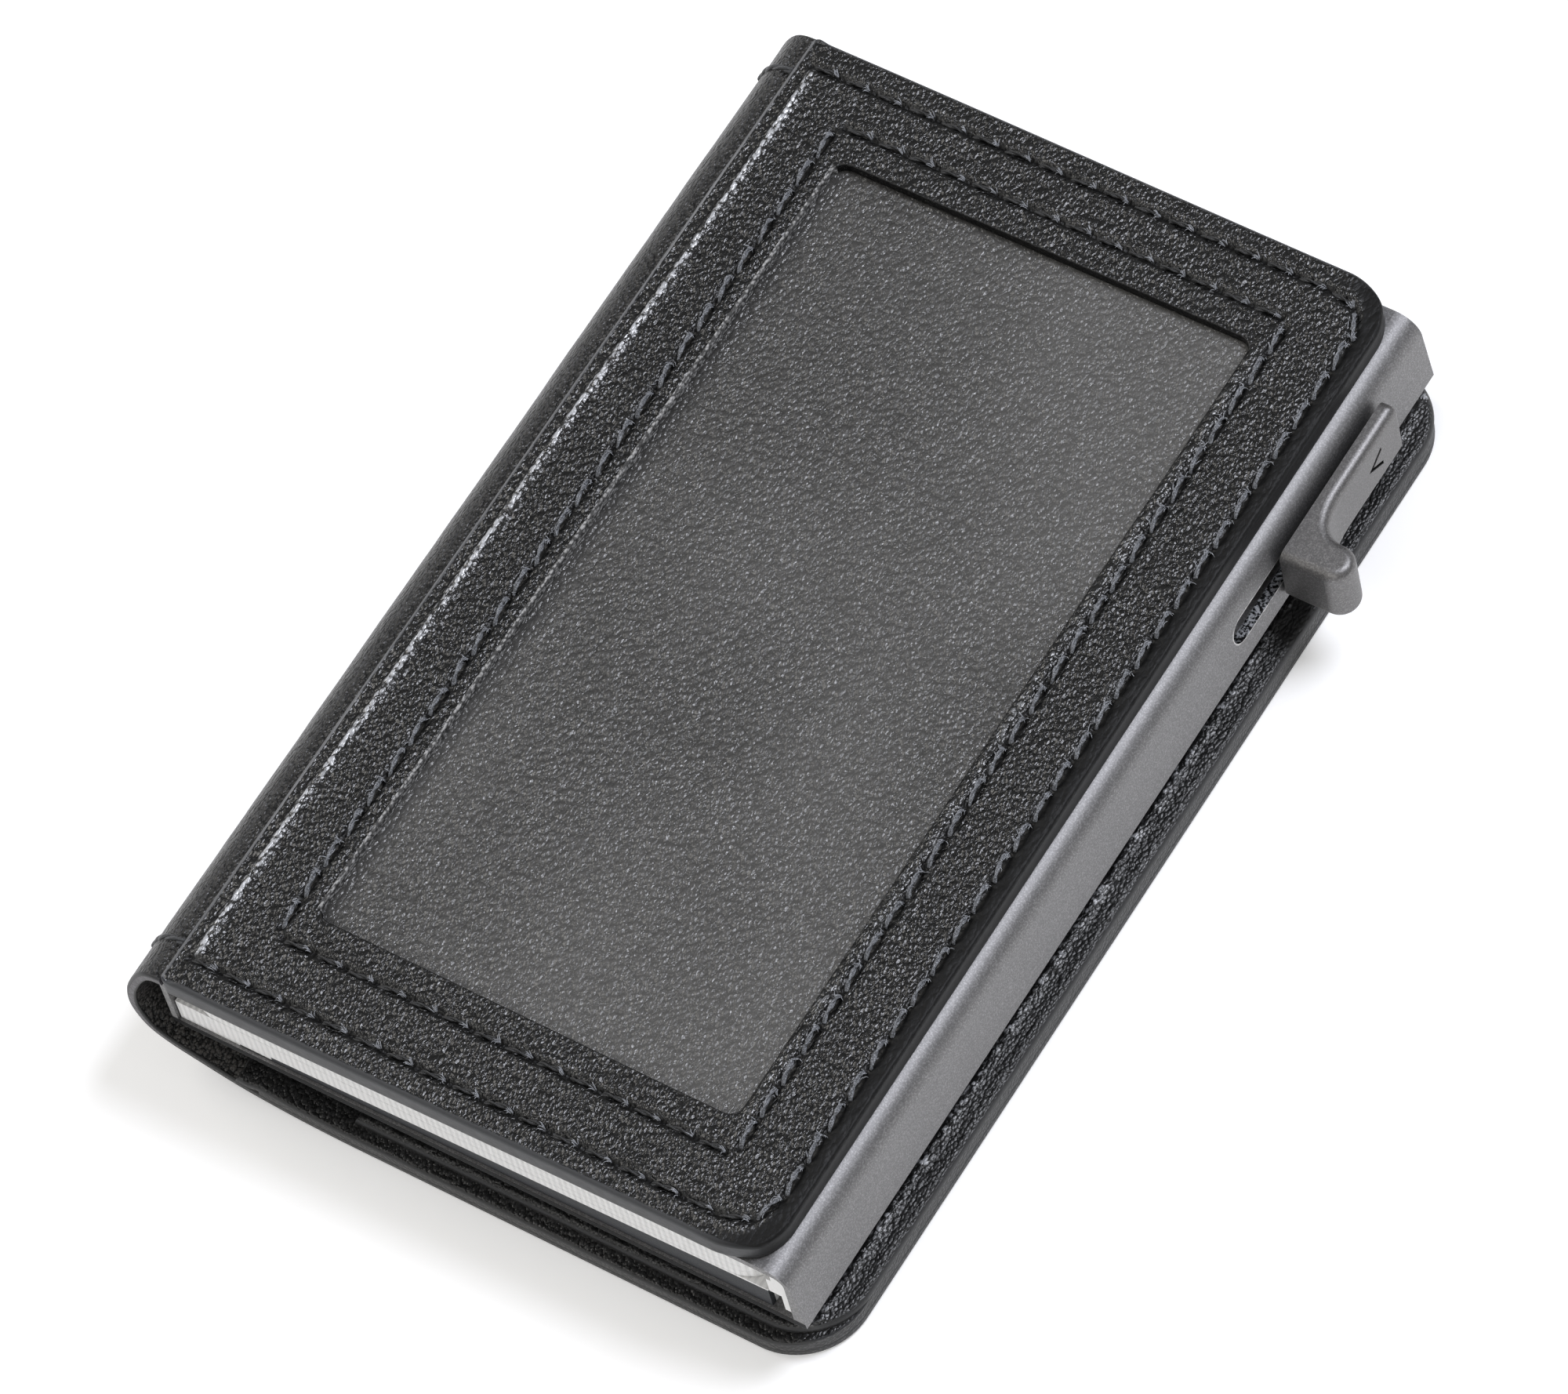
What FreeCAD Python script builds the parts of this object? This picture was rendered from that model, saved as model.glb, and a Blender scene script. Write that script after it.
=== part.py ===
import FreeCAD, Part
import math
import os

# A leather card wallet: an aluminium card case with a side thumb lever, wrapped in a leather
# cover that opens like a book. Millimetres. X runs from the spine to the lever side, Y from the
# card mouth (-Y) to the closed end, Z up. The origin is under the middle of the whole wallet,
# on the face that it lies on.

V = FreeCAD.Vector

# ---- Driving dimensions -------------------------------------------------------------------
CARD_LENGTH = 85.60            # ISO ID-1 card
CARD_WIDTH = 53.98
CARD_THICK = 0.76
CARD_COUNT = 4
CARD_PITCH = 0.79              # one card plus the air above it
CARD_SHARE = (1.0, 0.9, 0.8, 0.7)   # how far each card goes, as a share of the lever's travel
TRAVEL = 19.5                  # how far the lever slides towards the mouth

LENGTH = 97.0                  # leather panels, along Y
HEIGHT = 15.0                  # whole closed wallet
SPINE_X = -33.85               # the spine's outermost line
TIP_X = 33.6                   # the thumb hook's outermost line

FLAP_X = -29.15                # front panel, left and right edges
FRONT_RIGHT_X = 25.65
FRONT_THICK = 2.0
FRONT_CORNER = 4.9
WINDOW = (-21.2, 17.3, -38.2, 39.1)     # x0, x1, y0, y1
WINDOW_CORNER = 1.5
WINDOW_STITCH = (-23.1, 18.8, -41.0, 42.05)
EDGE_STITCH = (-28.4, 24.0, -45.7, 46.0)
STITCH_PITCH = 3.0
STITCH_LENGTH = 2.3
STITCH_WIDTH = 0.55
STITCH_DEPTH = 0.3

CASE_X = (-30.6, 27.75)        # aluminium sleeve, outside
CASE_Y = (-47.5, 47.5)
CASE_Z = (5.5, 12.95)
CAVITY_X = (-30.05, 26.7)      # aluminium sleeve, inside
CAVITY_Z = (6.1, 12.25)
CASE_ROUND = 2.2               # the long round over the lever side
CAVITY_ROUND = 1.0
SIDE_LEAN = 0.45               # the side wall's top stands this far inside its foot
SLOT_Y = (17.6, 40.25)
SLOT_Z = (7.7, 10.4)

CARD_X0 = -29.35
CARD_Y0 = -47.2                # cards stand just inside the mouth
BED_TOP = 8.70
CARD_Z0 = BED_TOP + 0.05

BACK_RIGHT_X = 29.25
BACK_CORNER = 6.0
BACK_LEATHER = 0.9
BACK_BOARD = 0.5
BACK_LINING = 0.6
POCKET_THICK = 0.7
BOARD_X0 = -23.0
LINING_X0 = -25.2
SPINE_LEATHER = 0.9

# The outside of the cover's section beside the spine, from the flat back to the lower fold,
# then up the bulge to the upper fold, and then over the case's shoulder to the front panel.
BACK_CURVE = ((-15.3, 0.0), (-19.9, 0.27), (-24.5, 0.95), (-28.0, 1.95), (-30.6, 2.85))
SPINE_CURVE = ((-33.0, 4.4), (-33.6, 5.8), (SPINE_X, 7.5), (-33.55, 9.6), (-32.95, 11.2),
               (-32.45, 12.15))
SHOULDER_CURVE = ((-31.4, 13.85), (-30.9, 14.3), (-30.2, 14.6), (-29.3, 14.75))


# ---- Helpers ------------------------------------------------------------------------------
def box(x0, x1, y0, y1, z0, z1):
    return Part.makeBox(x1 - x0, y1 - y0, z1 - z0, V(x0, y0, z0))


def outline(x0, x1, y0, y1, left, right, z=0.0):
    """A rectangle in plan with one radius on its left corners and one on its right."""
    corners = ((x0, y0, left, 180), (x1, y0, right, 270), (x1, y1, right, 0), (x0, y1, left, 90))
    edges = []
    points = []
    for x, y, radius, start in corners:
        inward_x = radius if x == x0 else -radius
        inward_y = radius if y == y0 else -radius
        centre = V(x + inward_x, y + inward_y, z)
        if radius <= 0:
            points.append((centre, centre))
            continue
        arc = Part.makeCircle(radius, centre, V(0, 0, 1), start, start + 90)
        points.append((arc.Vertexes[0].Point, arc.Vertexes[-1].Point))
        edges.append(arc)
    for here, after in zip(points, points[1:] + points[:1]):
        edges.append(Part.makeLine(here[1], after[0]))
    return Part.Wire(Part.__sortEdges__(edges))


def plate(x0, x1, y0, y1, z0, z1, left=0.0, right=0.0):
    face = Part.Face(outline(x0, x1, y0, y1, left, right, z0))
    return face.extrude(V(0, 0, z1 - z0))


def section_along_y(wire, y0, y1):
    """Extrude a closed section, drawn at y = 0, along Y."""
    solid = Part.Face(wire).extrude(V(0, y1 - y0, 0))
    solid.translate(V(0, y0, 0))
    return solid


def offset_points(points, distance):
    """Points moved to the left of the way that the curve runs, by distance."""
    moved = []
    for i, (x, z) in enumerate(points):
        before = points[max(i - 1, 0)]
        after = points[min(i + 1, len(points) - 1)]
        dx, dz = after[0] - before[0], after[1] - before[1]
        length = math.hypot(dx, dz)
        moved.append((x + distance * dz / length, z - distance * dx / length))
    return moved


def spline(points):
    curve = Part.BSplineCurve()
    curve.interpolate([V(x, 0, z) for x, z in points])
    return curve.toShape()


def strip(points, near, far, flat_to=None):
    """A sheet that follows a curve, between two offsets from it, in section at y = 0.
    With flat_to, the sheet carries on flat from the curve's first point to that x."""
    low = offset_points(points, near)
    high = offset_points(points, far)
    if flat_to is not None:
        low[0] = (points[0][0], points[0][1] + near)
        high[0] = (points[0][0], points[0][1] + far)
    edges = [spline(low), spline(high)]
    edges.append(Part.makeLine(V(low[-1][0], 0, low[-1][1]), V(high[-1][0], 0, high[-1][1])))
    if flat_to is None:
        edges.append(Part.makeLine(V(low[0][0], 0, low[0][1]), V(high[0][0], 0, high[0][1])))
    else:
        corners = [V(low[0][0], 0, low[0][1]), V(flat_to, 0, low[0][1]),
                   V(flat_to, 0, high[0][1]), V(high[0][0], 0, high[0][1])]
        edges += [Part.makeLine(a, b) for a, b in zip(corners, corners[1:])]
    return Part.Wire(Part.__sortEdges__(edges))


def run_of_stitches(start, end, z0, z1):
    """Separate stitches in a straight row along X or Y, evenly spaced between two points."""
    length = math.hypot(end[0] - start[0], end[1] - start[1])
    count = max(1, round(length / STITCH_PITCH))
    along_x = abs(end[0] - start[0]) > abs(end[1] - start[1])
    half_x, half_y = ((STITCH_LENGTH, STITCH_WIDTH) if along_x else (STITCH_WIDTH, STITCH_LENGTH))
    stitches = []
    for i in range(count):
        share = (i + 0.5) / count
        x = start[0] + share * (end[0] - start[0])
        y = start[1] + share * (end[1] - start[1])
        stitches.append(box(x - half_x / 2, x + half_x / 2, y - half_y / 2, y + half_y / 2, z0, z1))
    return stitches


def stitch_rows(runs, z0, z1):
    stitches = []
    for start, end in runs:
        stitches += run_of_stitches(start, end, z0, z1)
    return Part.Compound(stitches)


def groove(runs, z0, z1):
    """The sunk channel that a row of stitches lies in."""
    half = STITCH_WIDTH / 2 + 0.08
    cuts = [box(min(a[0], b[0]) - half, max(a[0], b[0]) + half,
                min(a[1], b[1]) - half, max(a[1], b[1]) + half, z0, z1) for a, b in runs]
    return cuts[0].multiFuse(cuts[1:])


def ring_runs(x0, x1, y0, y1):
    """The four rows of a rectangle, each stopping a stitch short of the corners."""
    gap = STITCH_WIDTH
    return [((x0 + gap, y0), (x1 - gap, y0)), ((x1, y0 + gap), (x1, y1 - gap)),
            ((x1 - gap, y1), (x0 + gap, y1)), ((x0, y1 - gap), (x0, y0 + gap))]


# ---- Leather front panel ------------------------------------------------------------------
FRONT_TOP = HEIGHT
FRONT_BASE = HEIGHT - FRONT_THICK
TOP_LEATHER = 0.9
FILM_THICK = 0.2
PICTURE_THICK = 0.5
HALF_LENGTH = LENGTH / 2
FILLER_BASE = FRONT_TOP - TOP_LEATHER - FILM_THICK - PICTURE_THICK
WINDOW_POCKET = (-22.4, 18.0, -40.2, 41.4)    # the hole that holds the film and its backing

window_runs = ring_runs(*WINDOW_STITCH)
edge_x0, edge_x1, edge_y0, edge_y1 = EDGE_STITCH
edge_runs = [((edge_x0, edge_y0), (edge_x1 - 1, edge_y0)), ((edge_x1, edge_y0 + 1),
             (edge_x1, edge_y1 - 1)), ((edge_x1 - 1, edge_y1), (edge_x0, edge_y1))]
top_groove = (FRONT_TOP - STITCH_DEPTH, FRONT_TOP + 1)


def front_leather():
    z0 = FRONT_TOP - TOP_LEATHER
    panel = plate(FLAP_X, FRONT_RIGHT_X, -HALF_LENGTH, HALF_LENGTH, z0, FRONT_TOP,
                  0.6, FRONT_CORNER)
    hole = plate(*WINDOW, z0 - 1, FRONT_TOP + 1, WINDOW_CORNER, WINDOW_CORNER)
    panel = panel.cut(hole)
    panel = panel.cut(groove(window_runs, *top_groove))
    return panel.cut(groove(edge_runs, *top_groove))


def front_filler():
    """The layer round the film and its backing, as thick as the two of them."""
    z1 = FRONT_TOP - TOP_LEATHER
    panel = plate(FLAP_X, FRONT_RIGHT_X, -HALF_LENGTH, HALF_LENGTH, FILLER_BASE, z1,
                  0.6, FRONT_CORNER)
    return panel.cut(box(*WINDOW_POCKET, FILLER_BASE - 1, z1 + 1))


def front_base():
    return plate(FLAP_X, FRONT_RIGHT_X, -HALF_LENGTH, HALF_LENGTH, FRONT_BASE, FILLER_BASE,
                 0.6, FRONT_CORNER)


def window_film():
    z1 = FRONT_TOP - TOP_LEATHER
    return box(*WINDOW_POCKET, z1 - FILM_THICK, z1)


def window_backing():
    z1 = FRONT_TOP - TOP_LEATHER - FILM_THICK
    return box(*WINDOW_POCKET, z1 - PICTURE_THICK, z1)


def adhesive_sheet():
    return box(FLAP_X + 1, CASE_X[1] - 4, CASE_Y[0] + 1, CASE_Y[1] - 1, CASE_Z[1], FRONT_BASE)


# ---- Aluminium card case ------------------------------------------------------------------
def case_wire():
    """The sleeve's outside section: sharp foot, leaning side wall, long round at the top."""
    x0, x1 = CASE_X
    z0, z1 = CASE_Z
    small = 1.0
    side_top = V(x1 - SIDE_LEAN, 0, z1 - CASE_ROUND)
    round_mid = V(x1 - SIDE_LEAN - CASE_ROUND * (1 - math.cos(math.pi / 4)), 0,
                  z1 - CASE_ROUND * (1 - math.sin(math.pi / 4)))
    round_end = V(x1 - SIDE_LEAN - CASE_ROUND, 0, z1)
    top_left = V(x0 + small, 0, z1)
    left_top = V(x0, 0, z1 - small)
    corner_mid = V(x0 + small * (1 - math.cos(math.pi / 4)), 0,
                   z1 - small * (1 - math.sin(math.pi / 4)))
    foot_left = V(x0, 0, z0)
    foot_right = V(x1, 0, z0)
    edges = [Part.makeLine(foot_left, foot_right), Part.makeLine(foot_right, side_top),
             Part.Arc(side_top, round_mid, round_end).toShape(),
             Part.makeLine(round_end, top_left),
             Part.Arc(top_left, corner_mid, left_top).toShape(),
             Part.makeLine(left_top, foot_left)]
    return Part.Wire(edges)


def cavity(y0, y1, slack=0.0):
    """The sleeve's inside, as a bar with a rounded upper corner on the lever side."""
    bar = box(CAVITY_X[0] + slack, CAVITY_X[1] - slack, y0, y1, CAVITY_Z[0] + slack,
              CAVITY_Z[1] - slack)
    corner = [edge for edge in bar.Edges
              if abs(edge.CenterOfMass.x - CAVITY_X[1] + slack) < 1e-6
              and abs(edge.CenterOfMass.z - CAVITY_Z[1] + slack) < 1e-6]
    return bar.makeFillet(CAVITY_ROUND, corner)


def lever_slot():
    """A slot with round ends, cut through the side wall."""
    radius = (SLOT_Z[1] - SLOT_Z[0]) / 2
    middle = sum(SLOT_Z) / 2
    x0 = CAVITY_X[1] - 1
    reach = CASE_X[1] + 1 - x0
    cut = box(x0, x0 + reach, SLOT_Y[0] + radius, SLOT_Y[1] - radius, *SLOT_Z)
    for y in (SLOT_Y[0] + radius, SLOT_Y[1] - radius):
        cut = cut.fuse(Part.makeCylinder(radius, reach, V(x0, y, middle), V(1, 0, 0)))
    return cut


def case_sleeve():
    bar = section_along_y(case_wire(), *CASE_Y)
    sleeve = bar.cut(cavity(CASE_Y[0] - 1, CASE_Y[1] + 1))
    return sleeve.cut(lever_slot())


END_CAP_Y0 = 46.6


def end_cap():
    return cavity(END_CAP_Y0, CASE_Y[1])


# ---- Inside the case ----------------------------------------------------------------------
CARD_X1 = CARD_X0 + CARD_WIDTH
CHANNEL_X = (CARD_X1 + 0.15, CAVITY_X[1] - 0.1)    # the lane beside the cards
PAD_THICK = 0.6
PAD_INSET = 0.4
TRIM_X = (-24.4, CARD_X1)
TRIM_THICK = 0.5
TRIM_TOP = (6.7, 8.55)         # its top edge rises from the step to the lever side
TRIM_STEP = (3.0, 0.4)         # at its spine end the trim is this much lower, over this length
BRAKE_X = (-12.0, 8.0)
BRAKE_Y = (-45.0, -37.0)
BRAKE_NOSE_Y = (-44.0, -42.6)
BRAKE_THICK = 0.15
SPRING_Y = (28.0, 44.0)
SPRING_THICK = 0.25
BUMP_Y = 33.5
BUMP_RADIUS = 0.45
ARM_Y = (35.0, 46.0)
ARM_Z = (6.9, 11.65)
RAIL_Y1 = ARM_Y[0] - TRAVEL - 0.5
RAIL_LEG = (0.75, 0.5)         # the leg's thickness, and how far its foot stands above the floor
RAIL_SLIT = (0.45, 4.0, 10.7)  # a slit in the head: its depth, its length and its lower face


def base_pad():
    """A thin felt sheet glued under the sleeve, which faces the banknotes."""
    return box(CASE_X[0] + PAD_INSET, CASE_X[1] - PAD_INSET, CASE_Y[0] + PAD_INSET / 2,
               CASE_Y[1] - PAD_INSET, CASE_Z[0] - PAD_THICK, CASE_Z[0])


def mouth_trim():
    """A strip across the foot of the mouth, whose top edge rises away from the spine."""
    x0, x1 = TRIM_X
    low, high = TRIM_TOP
    step_x, step_z = x0 + TRIM_STEP[0], low - TRIM_STEP[1]
    z0 = CAVITY_Z[0]
    corners = ((x0, z0), (x1, z0), (x1, high), (step_x, low), (step_x, step_z), (x0, step_z))
    section = Part.makePolygon([V(x, 0, z) for x, z in corners + corners[:1]])
    return section_along_y(section, CARD_Y0, CARD_Y0 + TRIM_THICK)


def card_bed():
    """The plate that the cards slide on, cut back behind the trim at the mouth."""
    bed = box(CAVITY_X[0] + 0.1, CARD_X1, CARD_Y0, END_CAP_Y0, CAVITY_Z[0], BED_TOP)
    return bed.cut(mouth_trim())


def side_rail():
    """The white rail beside the cards: a head at card height on a thinner leg."""
    x0, x1 = CHANNEL_X
    thick, foot = RAIL_LEG
    deep, long, low = RAIL_SLIT
    head = box(x0, x1, CARD_Y0, RAIL_Y1, CARD_Z0, ARM_Z[1] - 0.05)
    leg = box(x1 - thick, x1, CARD_Y0, RAIL_Y1, CAVITY_Z[0] + foot, CARD_Z0)
    slit = box(x0 - 1, x0 + deep, CARD_Y0 - 1, CARD_Y0 + long, low, ARM_Z[1])
    return head.fuse(leg).cut(slit).removeSplitter()


def card_brake():
    """A thin sprung strip under the sleeve's top, which keeps the cards from falling out."""
    z1 = CAVITY_Z[1]
    leaf = box(*BRAKE_X, *BRAKE_Y, z1 - BRAKE_THICK, z1)
    nose = box(*BRAKE_X, *BRAKE_NOSE_Y, z1 - 2 * BRAKE_THICK, z1 - BRAKE_THICK)
    return leaf.fuse(nose).removeSplitter()


def detent_spring():
    """A flat spring on the case's floor in the side lane, with a bump that clicks at rest."""
    x0, x1 = CHANNEL_X[0] + 0.2, CHANNEL_X[1] - 0.2
    z0 = CAVITY_Z[0]
    leaf = box(x0, x1, *SPRING_Y, z0, z0 + SPRING_THICK)
    bump = Part.makeCylinder(BUMP_RADIUS, x1 - x0, V(x0, BUMP_Y, z0 + SPRING_THICK), V(1, 0, 0))
    bump = bump.common(box(x0, x1, *SPRING_Y, z0 + SPRING_THICK, z0 + 1))
    return leaf.fuse(bump).removeSplitter()


def card(index):
    z0 = CARD_Z0 + index * CARD_PITCH
    return plate(CARD_X0, CARD_X1, CARD_Y0, CARD_Y0 + CARD_LENGTH, z0, z0 + CARD_THICK, 3.18, 3.18)


# ---- Slider: pusher, thumb lever and its rivets -------------------------------------------
LEVER_Z = (6.1, 12.2)
PAD_X = (27.95, 29.3)
HOOK_Y = 24.25                 # the hook's flat face, towards the mouth
PAD_END_Y = 40.4
TIP_RADIUS = 1.7
SWEEP_Y = 32.0                 # where the concave sweep starts on the pad
LEVER_ROUND = 0.8
STEM_Y = (37.6, 39.7)
STEM_Z = (8.05, 10.05)
RIVET_RADIUS = 0.35


def pusher():
    """An arm in the side lane and a stepped block behind the cards, one step per card."""
    card_end = CARD_Y0 + CARD_LENGTH + 0.1
    block_x0 = CAVITY_X[0] + 0.25
    steps = [box(CHANNEL_X[0] + 0.05, CHANNEL_X[1] - 0.05, *ARM_Y, *ARM_Z)]
    for index, share in enumerate(CARD_SHARE):
        z0 = CARD_Z0 + index * CARD_PITCH - 0.02
        z1 = z0 + CARD_PITCH if index < CARD_COUNT - 1 else 11.95
        y0 = card_end + TRAVEL * (1 - share)
        steps.append(box(block_x0, CHANNEL_X[0] + 0.05, y0, ARM_Y[1], z0, z1))
    body = steps[0].multiFuse(steps[1:]).removeSplitter()
    for hole in rivet_axes():
        body = body.cut(hole)
    return body


def rivet_axes():
    """The two rivets run from the arm into the lever's stem."""
    middle = sum(STEM_Z) / 2
    return [Part.makeCylinder(RIVET_RADIUS, PAD_X[0] - 0.2 - CHANNEL_X[0] - 0.05,
                              V(CHANNEL_X[0] + 0.05, y, middle), V(1, 0, 0))
            for y in (STEM_Y[0] + 0.55, STEM_Y[1] - 0.55)]


def lever_outline():
    """The lever in plan: a flat pad, a concave sweep, and a round-nosed hook for the thumb."""
    tip_x = TIP_X - TIP_RADIUS
    tip_y = HOOK_Y + TIP_RADIUS
    z = LEVER_Z[0]
    back = V(tip_x - 0.2, tip_y + TIP_RADIUS, z)
    sweep = Part.BezierCurve()
    sweep.setPoles([V(PAD_X[1], SWEEP_Y, z), V(PAD_X[1], SWEEP_Y - 3.2, z),
                    V(PAD_X[1] + 0.9, back.y + 0.05, z), back])
    nose = Part.Arc(V(tip_x, tip_y + TIP_RADIUS, z), V(TIP_X, tip_y, z), V(tip_x, HOOK_Y, z))
    far = Part.Arc(V(PAD_X[1] - 0.5, PAD_END_Y, z),
                   V(PAD_X[1] - 0.146, PAD_END_Y - 0.146, z), V(PAD_X[1], PAD_END_Y - 0.5, z))
    edges = [Part.makeLine(V(PAD_X[0], HOOK_Y, z), V(PAD_X[0], PAD_END_Y, z)),
             Part.makeLine(V(PAD_X[0], PAD_END_Y, z), V(PAD_X[1] - 0.5, PAD_END_Y, z)),
             far.toShape(),
             Part.makeLine(V(PAD_X[1], PAD_END_Y - 0.5, z), V(PAD_X[1], SWEEP_Y, z)),
             sweep.toShape(),
             Part.makeLine(back, V(tip_x, tip_y + TIP_RADIUS, z)),
             nose.toShape(),
             Part.makeLine(V(tip_x, HOOK_Y, z), V(PAD_X[0], HOOK_Y, z))]
    return Part.Wire(Part.__sortEdges__(edges))


def thumb_lever():
    body = Part.Face(lever_outline()).extrude(V(0, 0, LEVER_Z[1] - LEVER_Z[0]))
    rim = [edge for edge in body.Edges
           if min(abs(edge.CenterOfMass.z - z) for z in LEVER_Z) < 1e-6
           and edge.CenterOfMass.x > PAD_X[0] + 0.1]
    rim = [edge for edge in rim if abs(edge.CenterOfMass.y - HOOK_Y) > 0.05
           and abs(edge.CenterOfMass.y - PAD_END_Y) > 0.05]
    body = body.makeFillet(LEVER_ROUND, rim)
    arrow = chevron()
    body = body.cut(arrow)
    stem = box(CHANNEL_X[1] - 0.05, PAD_X[0] + 0.3, *STEM_Y, *STEM_Z)
    body = body.fuse(stem).removeSplitter()
    for hole in rivet_axes():
        body = body.cut(hole)
    return body


def chevron():
    """A plain engraved arrow head on the pad, pointing the way that the lever slides."""
    x0 = PAD_X[1] - 0.15
    middle = sum(LEVER_Z) / 2
    shape = [(35.4, middle), (37.4, middle + 1.2), (37.4, middle + 0.75), (36.1, middle),
             (37.4, middle - 0.75), (37.4, middle - 1.2)]
    points = [V(x0, y, z) for y, z in shape]
    return Part.Face(Part.makePolygon(points + points[:1])).extrude(V(1, 0, 0))


def lever_rivets():
    return Part.Compound(rivet_axes())


# ---- Leather back cover and spine ---------------------------------------------------------
BACK_STITCH_IN = 3.0
back_stitch_x1 = BACK_RIGHT_X - BACK_STITCH_IN
back_stitch_y = HALF_LENGTH - BACK_STITCH_IN
BACK_STITCH_X0 = -14.0
back_runs = [((BACK_STITCH_X0, -back_stitch_y), (back_stitch_x1 - 1, -back_stitch_y)),
             ((back_stitch_x1, -back_stitch_y + 1), (back_stitch_x1, back_stitch_y - 1)),
             ((back_stitch_x1 - 1, back_stitch_y), (BACK_STITCH_X0, back_stitch_y))]


def back_layer(near, far, left_x):
    """One sheet of the back cover, between two heights above its outside, from left_x."""
    sheet = section_along_y(strip(BACK_CURVE, near, far, BACK_RIGHT_X), -HALF_LENGTH, HALF_LENGTH)
    blank = plate(left_x, BACK_RIGHT_X, -HALF_LENGTH, HALF_LENGTH, -1, 8, 0.0, BACK_CORNER)
    return sheet.common(blank)


def back_leather():
    return back_layer(0.0, BACK_LEATHER, SPINE_X).cut(groove(back_runs, -1, STITCH_DEPTH))


def back_board():
    return back_layer(BACK_LEATHER, BACK_LEATHER + BACK_BOARD, BOARD_X0)


def back_lining():
    inner = BACK_LEATHER + BACK_BOARD
    return back_layer(inner, inner + BACK_LINING, LINING_X0)


POCKET_Z0 = BACK_LEATHER + BACK_BOARD + BACK_LINING
POCKET_X0 = -14.5


def pocket_panel():
    z1 = POCKET_Z0 + POCKET_THICK
    panel = plate(POCKET_X0, BACK_RIGHT_X - 0.4, -HALF_LENGTH + 1.2, HALF_LENGTH - 0.4,
                  POCKET_Z0, z1, 0.0, BACK_CORNER)
    return panel.cut(groove(back_runs, z1 - STITCH_DEPTH, z1 + 1))


def pocket_thread():
    z1 = POCKET_Z0 + POCKET_THICK
    return stitch_rows(back_runs, z1 - STITCH_DEPTH, z1)


def spine_leather():
    return section_along_y(strip(SPINE_CURVE, 0.0, SPINE_LEATHER), -HALF_LENGTH, HALF_LENGTH)


def spine_shoulder():
    """The end of the spine's leather that is glued over the case's edge, beside the flap."""
    return section_along_y(strip(SHOULDER_CURVE, 0.0, SPINE_LEATHER), -HALF_LENGTH, HALF_LENGTH)


# ---- Every node ---------------------------------------------------------------------------
parts = {
    "front_leather": front_leather(),
    "front_filler": front_filler(),
    "front_base": front_base(),
    "window_film": window_film(),
    "window_backing": window_backing(),
    "window_thread": stitch_rows(window_runs, FRONT_TOP - STITCH_DEPTH, FRONT_TOP),
    "edge_thread": stitch_rows(edge_runs, FRONT_TOP - STITCH_DEPTH, FRONT_TOP),
    "adhesive_sheet": adhesive_sheet(),
    "case_sleeve": case_sleeve(),
    "end_cap": end_cap(),
    "base_pad": base_pad(),
    "card_bed": card_bed(),
    "mouth_trim": mouth_trim(),
    "side_rail": side_rail(),
    "card_brake": card_brake(),
    "detent_spring": detent_spring(),
    "pusher": pusher(),
    "thumb_lever": thumb_lever(),
    "lever_rivets": lever_rivets(),
    "back_leather": back_leather(),
    "back_board": back_board(),
    "back_lining": back_lining(),
    "pocket_panel": pocket_panel(),
    "pocket_thread": pocket_thread(),
    "back_thread": stitch_rows(back_runs, 0.0, STITCH_DEPTH),
    "spine_leather": spine_leather(),
    "spine_shoulder": spine_shoulder(),
}
for number in range(CARD_COUNT):
    parts["card_%d" % (number + 1)] = card(number)

os.makedirs("parts", exist_ok=True)
for name, shape in parts.items():
    shape.exportStep("parts/%s.step" % name)
    print("%-16s solids %3d  valid %s  volume %9.2f mm3" % (
        name, len(shape.Solids), shape.isValid(), shape.Volume))
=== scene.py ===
import math

import bpy
import numpy as np
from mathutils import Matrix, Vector


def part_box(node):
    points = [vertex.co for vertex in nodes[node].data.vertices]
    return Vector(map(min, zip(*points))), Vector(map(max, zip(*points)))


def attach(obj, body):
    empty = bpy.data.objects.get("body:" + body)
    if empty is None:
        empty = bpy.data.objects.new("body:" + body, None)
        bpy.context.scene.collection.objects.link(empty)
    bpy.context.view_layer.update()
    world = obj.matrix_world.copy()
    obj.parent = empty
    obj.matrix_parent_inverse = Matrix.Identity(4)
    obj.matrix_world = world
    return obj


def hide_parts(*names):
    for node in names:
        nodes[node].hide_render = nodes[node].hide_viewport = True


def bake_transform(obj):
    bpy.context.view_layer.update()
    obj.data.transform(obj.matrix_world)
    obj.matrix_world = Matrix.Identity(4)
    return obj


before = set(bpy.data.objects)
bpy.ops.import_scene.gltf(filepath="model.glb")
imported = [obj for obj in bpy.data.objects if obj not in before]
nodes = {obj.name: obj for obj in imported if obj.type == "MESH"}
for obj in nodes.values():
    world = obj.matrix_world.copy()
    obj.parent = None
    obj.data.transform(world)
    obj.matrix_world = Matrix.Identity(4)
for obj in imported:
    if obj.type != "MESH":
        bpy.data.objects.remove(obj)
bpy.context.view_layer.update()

# A leather card wallet. Meshes are worked out in millimetres, in the frame's axes, and scaled to
# metres when they are made: X from the spine to the thumb lever, Y from the card mouth to the
# closed end, Z up.
MM = 0.001


def box_mm(node):
    low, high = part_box(node)
    return np.array(low) / MM, np.array(high) / MM


# ---- Driving sizes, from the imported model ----
front_low, front_high = box_mm("front_leather")
film_low, film_high = box_mm("window_film")
cover_high = box_mm("back_leather")[1]

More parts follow.
